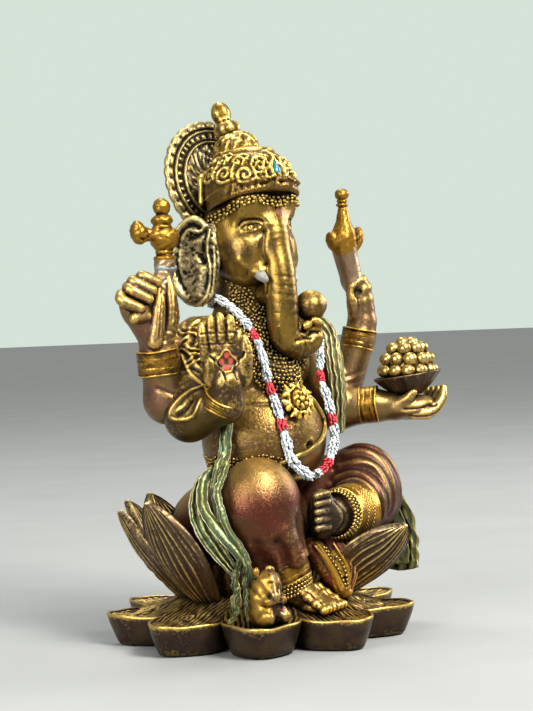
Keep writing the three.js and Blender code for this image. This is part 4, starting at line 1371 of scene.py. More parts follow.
def bands():
    """Four bracelets and two anklets, with rows of beads below each anklet."""
    down = (0.3, -0.2, -1)
    out = (-0.92, -0.34, 0.05)
    cuff("rear_right_bracelet", (-19.7, 0.4, 48.1), (-0.12, -0.03, 1), low_band(3.45, 2.1))
    cuff("rear_left_bracelet", (23.7, -1.5, 50.1), (0.2, -0.1, 1), low_band(3.05, 1.7))
    cuff("front_right_bracelet", (-14.4, -9.9, 41.1), (0.05, -0.5, 0.86), low_band(3.35, 1.1))
    cuff("front_left_bracelet", (20.3, -7.5, 38.6), (0.62, -0.78, 0.05), low_band(3.2, 1.6))
    cuff("right_anklet", (-4.9, -12.8, 12.6), down, low_band(4.05, 1.7, taper=-0.1))
    cuff("left_anklet", (9.0, -13.0, 21.0), out, low_band(4.7, 2.9, taper=-0.12), studs=48, material=GOLD)
    rows = []
    for k in range(4):
        heart = np.array([-4.5, -13.2, 10.9]) + 0.62 * k * unit(down)
        rows.append(bead_ring(heart, down, 3.6 - 0.14 * k, 34, 0.09 * k))
    for k in range(3):
        heart = np.array([6.2, -14.0, 21.1]) + 0.66 * k * unit(out)
        rows.append(bead_ring(heart, out, 4.15 - 0.16 * k, 38, 0.08 * k))
    piece = beads("ankle_beads", np.vstack(rows), 0.33)
    relief(piece, 1)
    finish_piece(piece, BEAD, [])


bands()


# ---------------------------------------------------------------- arms and hands


def rear_right_arm():
    """The raised right hand: four curled fingers, and two long bundles of cloth that it holds."""
    clay = Clay()
    clay.add(*chain((-11.5, 2, 50.6, 3.6), (-17.4, 1.2, 41.6, 3.9), (-19.5, 0.4, 49, 3.1),
                    (-20, 0.3, 52, 2.6)), soft=1.0)
    clay.add(Limb((-20.6, 0.3, 52), (-23.4, 0.4, 56), 2.4, 2.3),
             Lump((-24, 0.5, 57.4), (2.7, 2.0, 3.0), (0, -20, 0)), soft=0.9)
    knuckles = (((-26.2, 1.0, 59.4), (-27.2, -0.6, 58.4), (-24.7, -1.9, 57.0)),
                ((-24.9, 1.0, 60.6), (-25.4, -0.7, 60.0), (-22.9, -2.0, 58.5)),
                ((-23.8, 1.0, 61.6), (-24.5, -0.5, 61.3), (-21.9, -1.8, 59.9)),
                ((-22.2, 0.8, 62.1), (-22.7, -0.5, 62.2), (-20.6, -1.4, 61.2)))
    for back, fold, tip in knuckles:
        clay.add(Coil([(*back, 0.9), (*fold, 0.98), (*tip, 0.85)], 8), soft=0.3)
    clay.add(Limb((-23.2, -1.4, 55.6), (-25.6, -1.6, 55.4), 1.0, 0.9), soft=0.3)
    clay.add(Coil([(-20.1, -1.2, 60.2, 0.4), (-20.6, -1.7, 57.8, 1.05), (-21.2, -1.8, 54.4, 1.35),
                   (-21.7, -1.6, 51.4, 1.3)]),
             Coil([(-17.9, -1.0, 62.0, 0.4), (-17.8, -1.4, 59, 0.95), (-17.9, -1.5, 55.2, 1.25),
                   (-19.0, -1.3, 51.6, 1.2)]), soft=0.2)
    clay.groove([(-19.6, -3, 60), (-19.7, -3.2, 56), (-20.3, -3.2, 51.6)], 0.3, 0.5)
    for a, b in ((-21.0, -21.9), (-20.4, -21.1), (-17.9, -18.3), (-17.2, -17.5)):
        clay.groove([(a + 0.3, -3.4, 58.8), (0.5 * (a + b), -3.4, 55.4), (b, -3.3, 52)], 0.17, 0.16)
    clay.groove([(-17.0, -3.4, 42), (-19.4, -3, 42.8), (-21, -1, 43.8)], 0.4, 0.2)
    clay.ripple(shoulder_tangle)
    fire("rear_right_arm", clay, SMOOTH, 0.18)


PALM_AT = np.array([-14.8, -11.2, 47.8])
PALM_TURN = math.radians(-24)


def in_palm(x, y, z):
    """A point given across, out of and up the open palm."""
    c, s = math.cos(PALM_TURN), math.sin(PALM_TURN)
    return PALM_AT + [c * x - s * y, s * x + c * y, z]


def front_right_arm():
    """The arm raised in blessing, palm outwards, with a ringed flower painted in the palm."""
    clay = Clay()
    wrist = (*in_palm(0, 0, -3.4), 2.7)
    clay.add(*chain((-12.1, 0.2, 48.5, 3.8), (-16.2, -3, 38.8, 4), (-14.2, -10.3, 40.8, 2.9), wrist),
             soft=1.2)
    clay.add(Lump(in_palm(-0.2, 0, 0.0), (3.7, 1.45, 4.2), (0, 0, -24)), soft=1.0)
    clay.add(Lump(in_palm(2.8, -0.75, -1.4), (1.5, 1.15, 2.7), (0, -8, -24)),
             Lump(in_palm(-2.6, -0.75, -1.2), (1.35, 1.1, 2.8), (0, 6, -24)), soft=0.5)
    for x, top in zip((-3.75, -2.25, -0.65, 1.05), (6.0, 7.2, 7.5, 7.1)):
        joints = [(*in_palm(x + 0.5, -0.2, 0.6), 0.9), (*in_palm(x + 0.2, -0.35, 2.6), 0.82),
                  (*in_palm(x, -0.3, 4.2), 0.86), (*in_palm(x, -0.2, top - 0.8), 0.78),
                  (*in_palm(x, -0.1, top), 0.6)]
        clay.add(Coil(joints, 14), soft=0.12)
        for z in (3.0, 4.8):
            clay.groove([in_palm(x - 0.6, -1.2, z), in_palm(x, -1.4, z - 0.1), in_palm(x + 0.6, -1.2, z)],
                        0.14, 0.1)
    clay.add(Coil([(*in_palm(2.7, -0.6, -1.8), 1.3), (*in_palm(3.4, -0.8, 0.4), 1.15),
                   (*in_palm(3.3, -0.7, 2.4), 1.0), (*in_palm(3.1, -0.6, 3.7), 0.75)], 9), soft=0.2)
    clay.add(Coil([(*in_palm(2.0, -0.4, 1.6), 0.9), (*in_palm(2.2, -0.5, 3.6), 0.8),
                   (*in_palm(2.3, -0.4, 4.6), 0.6)], 8), soft=0.2)
    mark = in_palm(-0.1, -1.6, 0.0)
    on = clay.settle([mark])[0]
    level = unit(in_palm(1, 0, 0) - in_palm(0, 0, 0))
    clay.ripple(lambda p: -0.3 * mound(p, on, 1.6))
    ring = []
    for t in np.linspace(0, 6.28, 40):
        reach = 1.75 + 0.25 * math.cos(4 * t)
        ring.append(on + reach * (0.85 * math.cos(t) * level + math.sin(t) * Z))
    clay.ridge(ring, 0.2, 0.24)
    clay.groove([in_palm(-3, -2, 1.3), in_palm(-1.4, -2, -0.2), in_palm(-0.6, -2, -2.8)], 0.25, 0.22)
    clay.groove([in_palm(2.4, -2, 1.4), in_palm(1.2, -2, -0.4), in_palm(1.2, -2, -2.8)], 0.25, 0.22)
    clay.ridge([(-14.9, -1, 50.4), (-15, -3.5, 47.5), (-14, -5.4, 45), (-14.6, -7.6, 42.6)], 0.4, 0.32)
    clay.ridge([(-16.2, -1.4, 49), (-16.6, -3.6, 46.6), (-15.2, -5.6, 43.8), (-15.6, -7.8, 41.6)], 0.34, 0.28)
    clay.ripple(shoulder_tangle)
    leaf = [(-14.6, -5.6, 43.9), (-16.4, -5.2, 43.2), (-18.6, -4.2, 42.0), (-20, -3.2, 39.2),
            (-18.6, -6, 38.8), (-16, -7.6, 40.6)]
    clay.ridge(leaf, 0.4, 0.28)
    clay.groove([(-17.4, -6.0, 40.9), (-18.4, -5.4, 40.0), (-19.3, -4.4, 39.3)], 0.5, 0.35)
    places = ((0.1, 1.1), (-0.75, 0.1), (0.75, 0.15), (-0.05, -1.0))
    spots = [(on + a * level + b * Z, (0.46, 0.55, 0.58)) for a, b in places]
    fire("front_right_arm", clay, PALM, 0.16, spots=spots)


def rear_left_arm():
    """The raised left hand, closed round the staff."""
    clay = Clay()
    clay.add(*chain((11.5, 2, 50.6, 3.6), (20.2, 0.4, 39.8, 3.7), (23.8, -1.6, 50, 2.8),
                    (24.6, -1.7, 53, 2.5)), soft=1.0)
    clay.add(Coil([(24.6, -1.7, 53, 2.4), (24.6, -1.5, 56, 2.4), (24.0, -1.2, 59, 2.0)]), soft=0.8)
    fingers = (((24.6, 0.2, 60.5), (25.1, -1.5, 60.7), (24.1, -2.6, 60.6), (22.9, -2.6, 60.2)),
               ((25.3, 0.0, 59.2), (25.8, -1.9, 59.3), (24.7, -3.1, 59.1), (23.6, -3.1, 58.6)),
               ((25.5, -0.2, 57.5), (25.8, -2.0, 57.5), (24.9, -3.1, 57.2), (23.9, -3.1, 56.8)),
               ((25.4, -0.4, 55.9), (25.6, -2.1, 55.8), (24.8, -3.0, 55.6), (23.9, -3.0, 55.3)))
    for k, joints in enumerate(fingers):
        clay.add(Coil([(*j, 0.9 - 0.08 * k - 0.05 * n) for n, j in enumerate(joints)], 10), soft=1.0)
    clay.add(Coil([(22.4, -2.0, 54.6, 1.1), (21.6, -2.5, 57, 1.0), (21.7, -2.6, 59.4, 0.8)], 8), soft=0.6)
    clay.ripple(lambda p: -0.8 * mound(p, [22.2, -3.6, 58.4], 0.9))
    for z in (42.6, 44.0):
        clay.groove([(18.4, -3, z - 0.6), (20.6, -3.6, z), (22.8, -3.0, z + 1.0)], 0.45, 0.1)
    fire("rear_left_arm", clay, SMOOTH, 0.18)


def front_left_arm():
    """The arm that holds out the bowl on its open hand."""
    clay = Clay()
    clay.add(*chain((12.3, 0.4, 48.5, 3.8), (16.8, -2.6, 38.2, 3.9), (20.8, -8, 38.4, 2.8),
                    (23.2, -10.6, 38.2, 2.5)), soft=1.0)
    clay.add(Lump((25.6, -12.6, 38.0), (4.2, 3.3, 2.0), (0, -8, -30)), soft=0.9)
    for k in range(4):
        along = [(24.4 + 0.6 * k, -14.3 + 1.4 * k, 36.8 - 0.1 * k, 0.95),
                 (26.6 + 0.6 * k, -15.6 + 1.5 * k, 36.9 + 0.1 * k, 1.1),
                 (28.8 + 0.55 * k, -15.9 + 1.6 * k, 38.2 + 0.1 * k, 1.0),
                 (29.9 + 0.4 * k, -15.9 + 1.6 * k, 39.6, 0.88),
                 (30.4 + 0.3 * k, -15.7 + 1.6 * k, 41.0 - 0.15 * k, 0.66)]
        clay.add(Coil(along, 10), soft=0.15)
    clay.add(Coil([(22.8, -12.6, 38.8, 1.1), (23.4, -14.0, 39.6, 0.95), (23.9, -14.8, 40.6, 0.7)], 8),
             soft=0.5)
    clay.groove([(22.4, -14, 37.8), (25, -15.6, 37.9), (27.4, -17, 38.7)], 0.3, 0.3)
    clay.groove([(23.4, -14.6, 36.4), (25.6, -16.4, 36.3), (28.4, -17.4, 37.2), (30.4, -17.2, 39.2)], 0.25,
                0.25)
    fire("front_left_arm", clay, SMOOTH, 0.17)


rear_right_arm()
front_right_arm()
rear_left_arm()
front_left_arm()


# ---------------------------------------------------------------- what the hands hold


def goad():
    """The goad: a shaft in a pale cup, a big knot with a side knob, and a small knot and a bud above it."""
    x, y = -17.8, 0.3
    clay = Clay()
    clay.add(Limb((-19.4, 0.3, 56), (x, y, 63.4), 1.5, 1.5))
    clay.add(Coil([(x + 0.1, y, 62.4, 1.5), (x + 0.2, y, 64.4, 1.75)]), soft=0.3)
    clay.add(Ring((x + 0.2, y, 65.2), (0, 0, 1), 1.2, (0.55, 0.45)),
             Ring((x + 0.2, y, 66.1), (0, 0, 1), 0.9, (0.6, 0.35)),
             Limb((x, y, 64), (x, y, 72.4), 1.1, 0.85), soft=0.25)
    clay.add(Lump((x + 0.3, y, 68.3), (2.35, 2.3, 2.15)), Lump((x + 0.9, y - 0.4, 69.0), (1.7, 1.9, 1.2)),
             soft=0.5)
    clay.add(Ring((x, y, 70.4), (0, 0, 1), 0.95, (0.65, 0.3)), Lump((x, y, 71.4), (1.85, 1.85, 1.15)),
             soft=0.2)
    clay.add(Lump((x, y, 73.6), (1.45, 1.45, 1.5)), soft=0.25)
    clay.add(Coil([(x, y, 68.9, 1.5), (x - 2.4, y, 69.0, 1.15), (x - 4.0, y, 69.2, 1.1)]), soft=0.6)
    clay.add(Lump((x - 4.9, y, 69.4), (1.35, 1.5, 2.0), (0, -15, 0)), soft=0.5)
    clay.groove([(x - 3.6, y - 1.5, 70.4), (x - 3.4, y - 1.6, 69.2), (x - 3.8, y - 1.5, 68)], 0.4, 0.2)
    clay.groove([(x - 5.2, y - 1.5, 67.9), (x - 4.3, y - 1.5, 67.7)], 0.35, 0.4)
    clay.ripple(lambda p: 0.09 * np.sin(3.1 * p[:, 0] + 2 * np.sin(2.3 * p[:, 2]))
                * np.sin(2.7 * p[:, 2] + p[:, 1]))
    piece = fire("elephant_goad", clay, STAFF, 0.14, spare=1.6)
    store(piece, "gilt_and_highlight", np.clip((vertices(piece)[:, 2] - 64.6) / 0.5, 0, 1))
    chip = Clay()
    chip.add(Lump((x + 0.2, y - 0.2, 63.4), (1.9, 1.8, 0.9), (-12, 0, 0)), soft=0.1)
    chip.cut(Lump((x + 0.2, y - 1.2, 64.6), (1.8, 1.6, 1.15)), soft=0.1)
    chip.ripple(lambda p: 0.06 * np.sin(4 * p[:, 0] + 3 * p[:, 2]))
    fire("goad_cup", chip, GREY_CHIP, 0.14, box=((-21, -3, 61), (-15, 3, 66)), stands_in=False)


def staff():
    """The lotus staff: a bud with two side leaves, ringed and knobbed above, on a thick brown stem."""
    x, y = 21.7, -0.9
    clay = Clay()
    clay.add(*chain((24.2, -1.4, 57, 1.5), (23.0, -1.1, 60.5, 1.9), (21.8, -0.9, 65.6, 2.2)), soft=0.5)
    clay.add(Lump((x, y, 67.7), (2.5, 2.3, 3.0)), Limb((x, y, 69), (x - 0.1, y, 73.6), 1.9, 0.75), soft=0.8)
    clay.add(Ring((x - 0.15, y, 74.0), (0, 0, 1), 0.55, (0.55, 0.32)),
             Ring((x - 0.15, y, 74.65), (0, 0, 1), 0.5, (0.5, 0.25)),
             Lump((x - 0.15, y, 75.85), (1.25, 1.25, 1.1)), soft=0.2)
    clay.add(Lump((x + 2.3, y - 1.0, 68.0), (0.85, 1.3, 2.1), (0, 8, 0)),
             Lump((x - 2.4, y + 0.6, 67.6), (0.85, 1.3, 1.8), (0, -12, 0)), soft=0.5)
    for k in range(10):
        a = 2 * math.pi * (k + 0.3) / 10
        out = np.array([math.cos(a), math.sin(a), 0])
        top = np.array([x, y, 71.5 + 0.7 * (k % 2)]) + 1.3 * out
        foot = np.array([x, y, 64.6 + 0.8 * (k % 2)]) + 2.2 * out
        clay.groove([top, np.array([x, y, 68]) + 2.6 * out, foot], 0.5, 0.06)
    clay.ripple(lambda p: 0.05 * np.clip((p[:, 2] - 65) / 2, 0, 1)
                * np.sin(2.6 * p[:, 0] + 2 * np.sin(1.9 * p[:, 2])) * np.sin(2.2 * p[:, 2] + p[:, 1]))
    box = (low("lotus_staff") - 1.5, high("lotus_staff") + 1.2)
    piece = fire("lotus_staff", clay, STAFF, 0.14, box=box)
    p = vertices(piece)
    jagged = 64.9 + 0.6 * np.sin(1.9 * p[:, 0] + 1.1 * p[:, 1])
    store(piece, "gilt_and_highlight", np.clip((p[:, 2] - jagged) / 1.6, 0, 1))


BOWL_HEART = np.array([25.6, -12, 42.4])


def bowl():
    """A shallow footed bowl with a rolled rim, tilted a little."""
    axis = unit([-0.0987, 0.0828, 0.992])
    profile = lathe_profile([(0.1, -2.4), (1.8, -2.4), (2.2, -2.35), (2.5, -2.0), (4.0, -0.9), (5.4, 0.5),
                             (5.85, 1.0), (5.95, 1.25), (5.75, 1.4), (5.45, 1.25), (5.0, 0.9), (3.0, 0.7),
                             (0.1, 0.7)], 90)

    def bulge(r, h, a):
        return 0.07 * np.cos(18 * a) * np.clip((r - 2) / 3, 0, 1) * (h < 1), 0 * r

    turned_piece("sweet_bowl", PLATE, "bronze", profile, BOWL_HEART, axis, 144, bulge)


def sweets():
    """A heap of round sweets in four rings, on a dark core."""
    places, sizes = [], []
    rings = ((12, 4.25, 2.0, 1.2), (10, 3.75, 4.0, 1.22), (7, 2.6, 5.8, 1.22), (3, 0.95, 6.7, 1.18))
    for count, ring, height, size in rings:
        for k in range(count):
            a = 2 * math.pi * (k + 0.5 * height) / count + 0.3
            places.append(BOWL_HEART + [ring * math.cos(a) - 0.1 * height * 0.3, ring * math.sin(a), height])
            sizes.append(size * (1 + 0.05 * math.sin(7.3 * k + height)))
    heap = beads("heap", np.array(places), np.array(sizes), detail=3)
    core = mesh_piece("core", BOWL_HEART + [0, 0, 2.6] + BALLS[3][0] * [4.2, 4.2, 3.6], BALLS[3][1])
    piece = join("sweet_heap", heap, core)
    relief(piece, 1)
    finish_piece(piece, SWEETS, ["sweet_heap"])


goad()
staff()
bowl()
sweets()


# ---------------------------------------------------------------- garland, cords and cloth

GARLAND_RIGHT = [(1, 6.6, 57.4), (-4.6, 4.2, 57.3), (-7.4, 0.2, 58.4), (-6.6, -2.4, 57.0),
                 (-5.2, -4.4, 54.6), (-4.6, -6.3, 52.1), (-3.9, -7.1, 49.5), (-3.6, -8.1, 46.2),
                 (-3.6, -9, 43), (-3.9, -10.8, 40), (-4.1, -12.2, 37), (-3.8, -12.8, 34.3),
                 (-3.1, -13, 31.3), (-1.2, -13.5, 29), (0.6, -13.6, 27.9)]
GARLAND_LEFT = [(-1, 6.6, 57.4), (5.4, 4.2, 57.2), (9.6, 0.6, 56.2), (10.7, -3.6, 54.2), (10.2, -6.2, 51.2),
                (9.3, -7.4, 48.4), (8.1, -8.5, 44.5), (8.1, -9.9, 41), (8.4, -10.9, 37), (8.4, -11.3, 34.8),
                (7.6, -11.7, 32.4), (5.8, -12.2, 29.6), (4.0, -12.7, 28.6), (1.2, -13.4, 27.8)]
RED_STOPS = np.array([(-5, -2, 55.9), (-4.6, -6.3, 52.1), (-3.6, -9, 43), (-4.1, -12.2, 37),
                      (7.9, -8.5, 44.3), (8.4, -10.9, 37), (5.9, -12.3, 29.8), (4.2, -12.6, 28.8),
                      (0.3, 6.8, 57.4), (9.6, 0.6, 56.2)])
RED_REACH = 0.95  # mm from the heart of a red band to its edge
STRAND_STEP = 0.45  # mm between one round of petals and the next
STRAND_LIFT = 0.55  # mm from the skin to the heart of a strand
PETAL_RADII = [0.25, 0.2, 0.6]


def garland():
    """Two strands of small blossoms strung tightly, with bands of red ones."""
    white, red = [], []
    for strand in (GARLAND_RIGHT, GARLAND_LEFT):
        path = even_path(strand, STRAND_STEP)
        for clay in (COLLAR, TORSO):
            clear = [clay.at([q])[0] > STRAND_LIFT for q in path]
            path = np.array([q if free else clay.settle([q], STRAND_LIFT)[0] for q, free in zip(path, clear)])
        path = even_path(path[::4], STRAND_STEP)
        tangent = np.gradient(path, axis=0)
        for k, (q, t) in enumerate(zip(path, tangent)):
            t = unit(t)
            across = unit(np.cross(t, Z + 0.01))
            over = np.cross(t, across)
            gap = np.linalg.norm(RED_STOPS - q, axis=1).min()
            full = 0.4 + 0.14 * np.clip((46 - q[2]) / 8, 0, 1)
            swell = full + 0.1 * math.sin(0.9 * k) - 0.2 * math.exp(-(((gap - 1.1) / 0.45) ** 2))
            for n in range(6):
                a = 2 * math.pi * (n + 0.5 * (k % 2)) / 6 + 0.3 * math.sin(3 * k)
                place = q + swell * (math.cos(a) * across + math.sin(a) * over)
                lean = unit(t + 0.5 * (math.cos(a) * across + math.sin(a) * over) + rng.normal(0, 0.16, 3))
                (red if gap < RED_REACH else white).append((place + rng.normal(0, 0.06, 3), lean))
    petals("garland", white, WHITE, ["garland"])
    petals("garland_bands", red, RED, [])


def petals(name, places, material, replaced):
    """Narrow petals, each a stretched ball lying along its own direction."""
    co, faces = BALLS[2]
    points = []
    for place, along in places:
        across = unit(np.cross(along, [0.31, 0.2, 0.93]))
        frame_of = np.stack([across, np.cross(along, across), along])
        points.append(place + (co * PETAL_RADII) @ frame_of)
    joined = faces[None] + len(co) * np.arange(len(places))[:, None, None]
    piece = mesh_piece(name, np.vstack(points), joined.reshape(-1, 3))
    finish_piece(piece, material, replaced)


def cord():
    """The thin cord that lies across the belly."""
    route = [(5.4, -10.6, 42), (6.6, -10.8, 39), (6.6, -10.7, 36.6), (5.8, -11.0, 35.3), (4.2, -12, 33.8),
             (2.2, -12.6, 32.8), (0, -12.6, 31.9), (-1.7, -12.4, 31.5), (-5, -11.6, 30), (-8.4, -8.6, 28.2)]
    path = TORSO.settle(even_path(route, 0.3), 0.22)
    clay = Clay()
    clay.add(Coil([(*q, 0.46 + 0.04 * math.sin(2.1 * n)) for n, q in enumerate(path[::4])]))
    fire("belly_cord", clay, BEAD, 0.12, spare=1.6)


VIEW_SIDE = np.array([0.766, -0.643, 0.0])  # the direction of the straps' width
STRAP_STEP = 0.3  # mm between one row of a strap's vertices and the next
STRAP_END = 0.5  # mm over which a strap closes at each end
TAIL_SIDE = (0.5, -0.85, 0)


def ribbon(name, route, half, thick, pleats, pleat, flare=1.0, swell=0.0, end_side=VIEW_SIDE):
    """A pleated strap along route, half and thick being half its width and half its thickness.

    flare is how many times wider its end is than its start, swell is how much wider its middle is, and
    end_side is the direction of its width at its end.
    """
    path = even_path(route, STRAP_STEP)
    rows, columns = len(path), 64
    tangent = np.gradient(path, axis=0)
    tangent /= np.linalg.norm(tangent, axis=1, keepdims=True)
    s = np.linspace(0, 1, rows)[:, None]
    wide = (1 - s) * unit(VIEW_SIDE) + s * unit(end_side)
    wide -= (wide * tangent).sum(1, keepdims=True) * tangent
    wide /= np.linalg.norm(wide, axis=1, keepdims=True)
    out = np.cross(tangent, wide)
    a = np.linspace(0, 2 * math.pi, columns, endpoint=False)
    v = np.cos(a)
    close = np.clip(np.minimum(s, 1 - s) * rows * STRAP_STEP / STRAP_END, 0.05, 1) ** 0.5
    span = half * (1 + (flare - 1) * s) * (1 + swell * np.sin(math.pi * s)) * close
    wave = pleat * np.cos(math.pi * (2 * pleats - 1) * v) * (1 - 0.5 * v**2)
    lift = thick * np.sin(a) * np.ones_like(s) + wave * (0.8 + 0.2 * np.sin(9 * s)) + 0.18 * (np.abs(v) > 0.9)
    points = path[:, None] + (span * v)[..., None] * wide[:, None] + (lift * close)[..., None] * out[:, None]
    piece = mesh_piece(name, points.reshape(-1, 3), tube_faces(rows, columns))
    relief(piece, 2)
    store(piece, "edge", np.tile(np.clip((np.abs(v) - 0.8) / 0.12, 0, 1), rows))
    return piece


# Each strap is its route, its half width and half thickness, its pleats and their depth, and then, where they
# aren't the usual ones, its flare, its swell and the direction of its width at its end.
RIGHT_SCARF = (([(-10.6, -6.2, 38.5), (-11.7, -6.8, 36), (-12.4, -7.2, 32.6), (-14.0, -7.6, 30.2)], 1.0,
                0.5, 1, 0.3), ([(-12.4, -7.2, 33), (-14.6, -7.8, 30.4), (-15.6, -8.0, 27.4),
                                (-16.1, -8.8, 25.1), (-16.4, -10.2, 22.0), (-15.6, -11.4, 19.4)], 0.5, 0.45,
                               1, 0.1), ([(-13.6, -5.8, 30.2), (-15.8, -6.2, 28.8), (-17.1, -6.9, 27.1),
              (-18.0, -8.0, 24.3), (-17.4, -9.8, 21.4), (-16.3, -11.6, 18.9), (-14.7, -13.0, 16.3),
              (-13.6, -13.6, 12.8), (-13.2, -13.4, 8.6)], 0.95, 0.42, 1, 0.35),
               ([(-12.6, -8.0, 31.4), (-13.9, -8.6, 29.4), (-16.0, -9.4, 26.7), (-16.5, -10.6, 24.3),
                 (-16.1, -12.0, 20.5), (-14.9, -13.2, 17.8), (-13.4, -13.8, 14.4)], 0.6, 0.4, 1, 0.15),
               ([(-14.8, -4.2, 29.0), (-16.9, -5.2, 25), (-17.3, -6.8, 21), (-16.0, -9.4, 16.5),
                 (-14.2, -11.8, 12.6)], 0.8, 0.45, 2, 0.3, 0.8, 1.3))
SCARF_ENDS = (([(-14.4, -12.4, 16.0), (-16.7, -13.9, 12.8), (-17.2, -15.0, 9.9), (-19.4, -16.4, 6.4)], 0.36,
               0.34, 1, 0.2, 0.8, 0.8), ([(-13.8, -13.4, 15.2), (-15.4, -15.0, 12.0), (-16.4, -16.2, 9.1),
              (-17.4, -17.4, 6.1)], 0.3, 0.34, 1, 0.15, 0.7, 0.9),
              ([(-16.4, -14.6, 11.6), (-18.2, -15.4, 9.6), (-18.6, -16.2, 7.6), (-20.8, -16.8, 6.3)], 0.3,
               0.32, 1, 0.15, 0.7, 0.9))
LEFT_SHAWL = (([(9.6, 5.5, 51.6), (12.6, 0.6, 54.8), (14.2, -3.8, 52), (13.0, -6.6, 46.5), (12.7, -7.6, 41),
                (12.0, -7.8, 34)], 1.3, 0.5, 2, 0.3),
              ([(11.4, 5.5, 50.6), (14.8, 0.4, 53.4), (15.9, -3.4, 49.6), (14.8, -5.9, 44.8),
                (14.2, -6.8, 39.8), (13.4, -6.8, 34)], 0.95, 0.5, 1, 0.26))
SCARF_TAIL = (([(22.6, -7.2, 22.4), (25.2, -7.4, 19.6), (26.4, -7.8, 14.4), (26.0, -8.0, 8.8)], 2.9, 0.8, 2,
               0.4, 1.1, 0.0, TAIL_SIDE),
              ([(22.6, -8.6, 20.6), (24.0, -9.0, 17), (24.4, -9.2, 13), (24.2, -9.0, 10.2)], 1.9, 0.5, 1,
               0.3, 1.0, 0.0, TAIL_SIDE))


def scarves():
    """Crumpled straps: five down the right side, three ends, two at the left shoulder, a tail behind."""
    for name, straps, depth, material, replaced in (
        ("right_scarf", RIGHT_SCARF, 0.07, GREEN, ["right_scarf"]),
        ("scarf_ends", SCARF_ENDS, 0.16, TAIL, []),
        ("left_shawl", LEFT_SHAWL, 0.1, SHAWL, ["left_shawl"]),
        ("scarf_tail", SCARF_TAIL, 0.14, TAIL, ["scarf_tail"]),
    ):
        piece = join(name, *[ribbon(f"strap_{k}", *strap) for k, strap in enumerate(straps)])
        crumple(piece, depth)
        finish_piece(piece, material, replaced)


def crumple(piece, depth):
    """Small uneven dents, as in cloth that was modelled by hand."""
    p = vertices(piece)
    push = np.stack([np.sin(1.7 * p[:, 2] + 2.9 * np.sin(2.3 * p[:, 1])),
                     np.sin(2.1 * p[:, 2] + 3.1 * p[:, 0]), 0.5 * np.sin(3.4 * p[:, 0] + 2.8 * p[:, 1])],
                    axis=1)
    piece.data.vertices.foreach_set("co", ((p + depth * push) * MM).astype(np.float32).ravel())
    piece.data.update()


def apron():
    """The cloth between the legs: a reddish fall of folds with an embroidered gold border."""
    clay = Clay()
    clay.add(Coil([(6, -11.4, 16.6, 3.0), (6.9, -13.3, 12, 2.9), (6.4, -14.2, 8.2, 1.6)]),
             Coil([(10.2, -10.8, 16.8, 2.8), (8.4, -12.6, 12.4, 2.1), (6.8, -13.8, 8.8, 1.2)]), soft=1.2)
    clay.add(Limb((1.4, -12.6, 15.6), (4.6, -15.0, 9.0), 2.0, 1.3), soft=0.6)
    for k in range(4):
        clay.groove([(7.2 + 1.3 * k, -15.5 + 0.7 * k, 17 - 0.4 * k), (7.4 + 1.0 * k, -16 + 0.7 * k, 12.5),
                     (6.8 + 0.5 * k, -16 + 0.6 * k, 8.6)], 0.35, 0.45)
    clay.ridge([(0.2, -14.6, 16.4), (2.4, -16.2, 12.6), (4.0, -16.4, 8.6)], 0.26, 0.5)
    clay.ridge([(1.0, -14.8, 16.6), (3.1, -16.4, 12.8), (4.6, -16.4, 8.8)], 0.2, 0.4)
    clay.ridge([(4.2, -14.8, 16.4), (5.6, -16.4, 12.6), (6.0, -16.2, 8.8)], 0.24, 0.45)
    box = (low("apron") - 3.2, high("apron") + 1.5)
    piece = fire("apron", clay, CLOTH_EDGED, 0.17, box=box)
    path = np.array([(2.2, -15.4, 16.2), (4.2, -16.2, 12.6), (5.2, -16.2, 8.8)])
    store(piece, "edge", np.clip((2.2 - nearest(vertices(piece), path)) / 0.5, 0, 1))
    border = clay.settle(even_path(path, 0.72), 0.1)
    side = clay.settle(even_path(path + [0.8, 0, 0], 0.72), 0.1)
    dots = beads("apron_beads", np.vstack([border, side]), 0.3)
    relief(dots, 1)
    finish_piece(dots, BEAD, [])


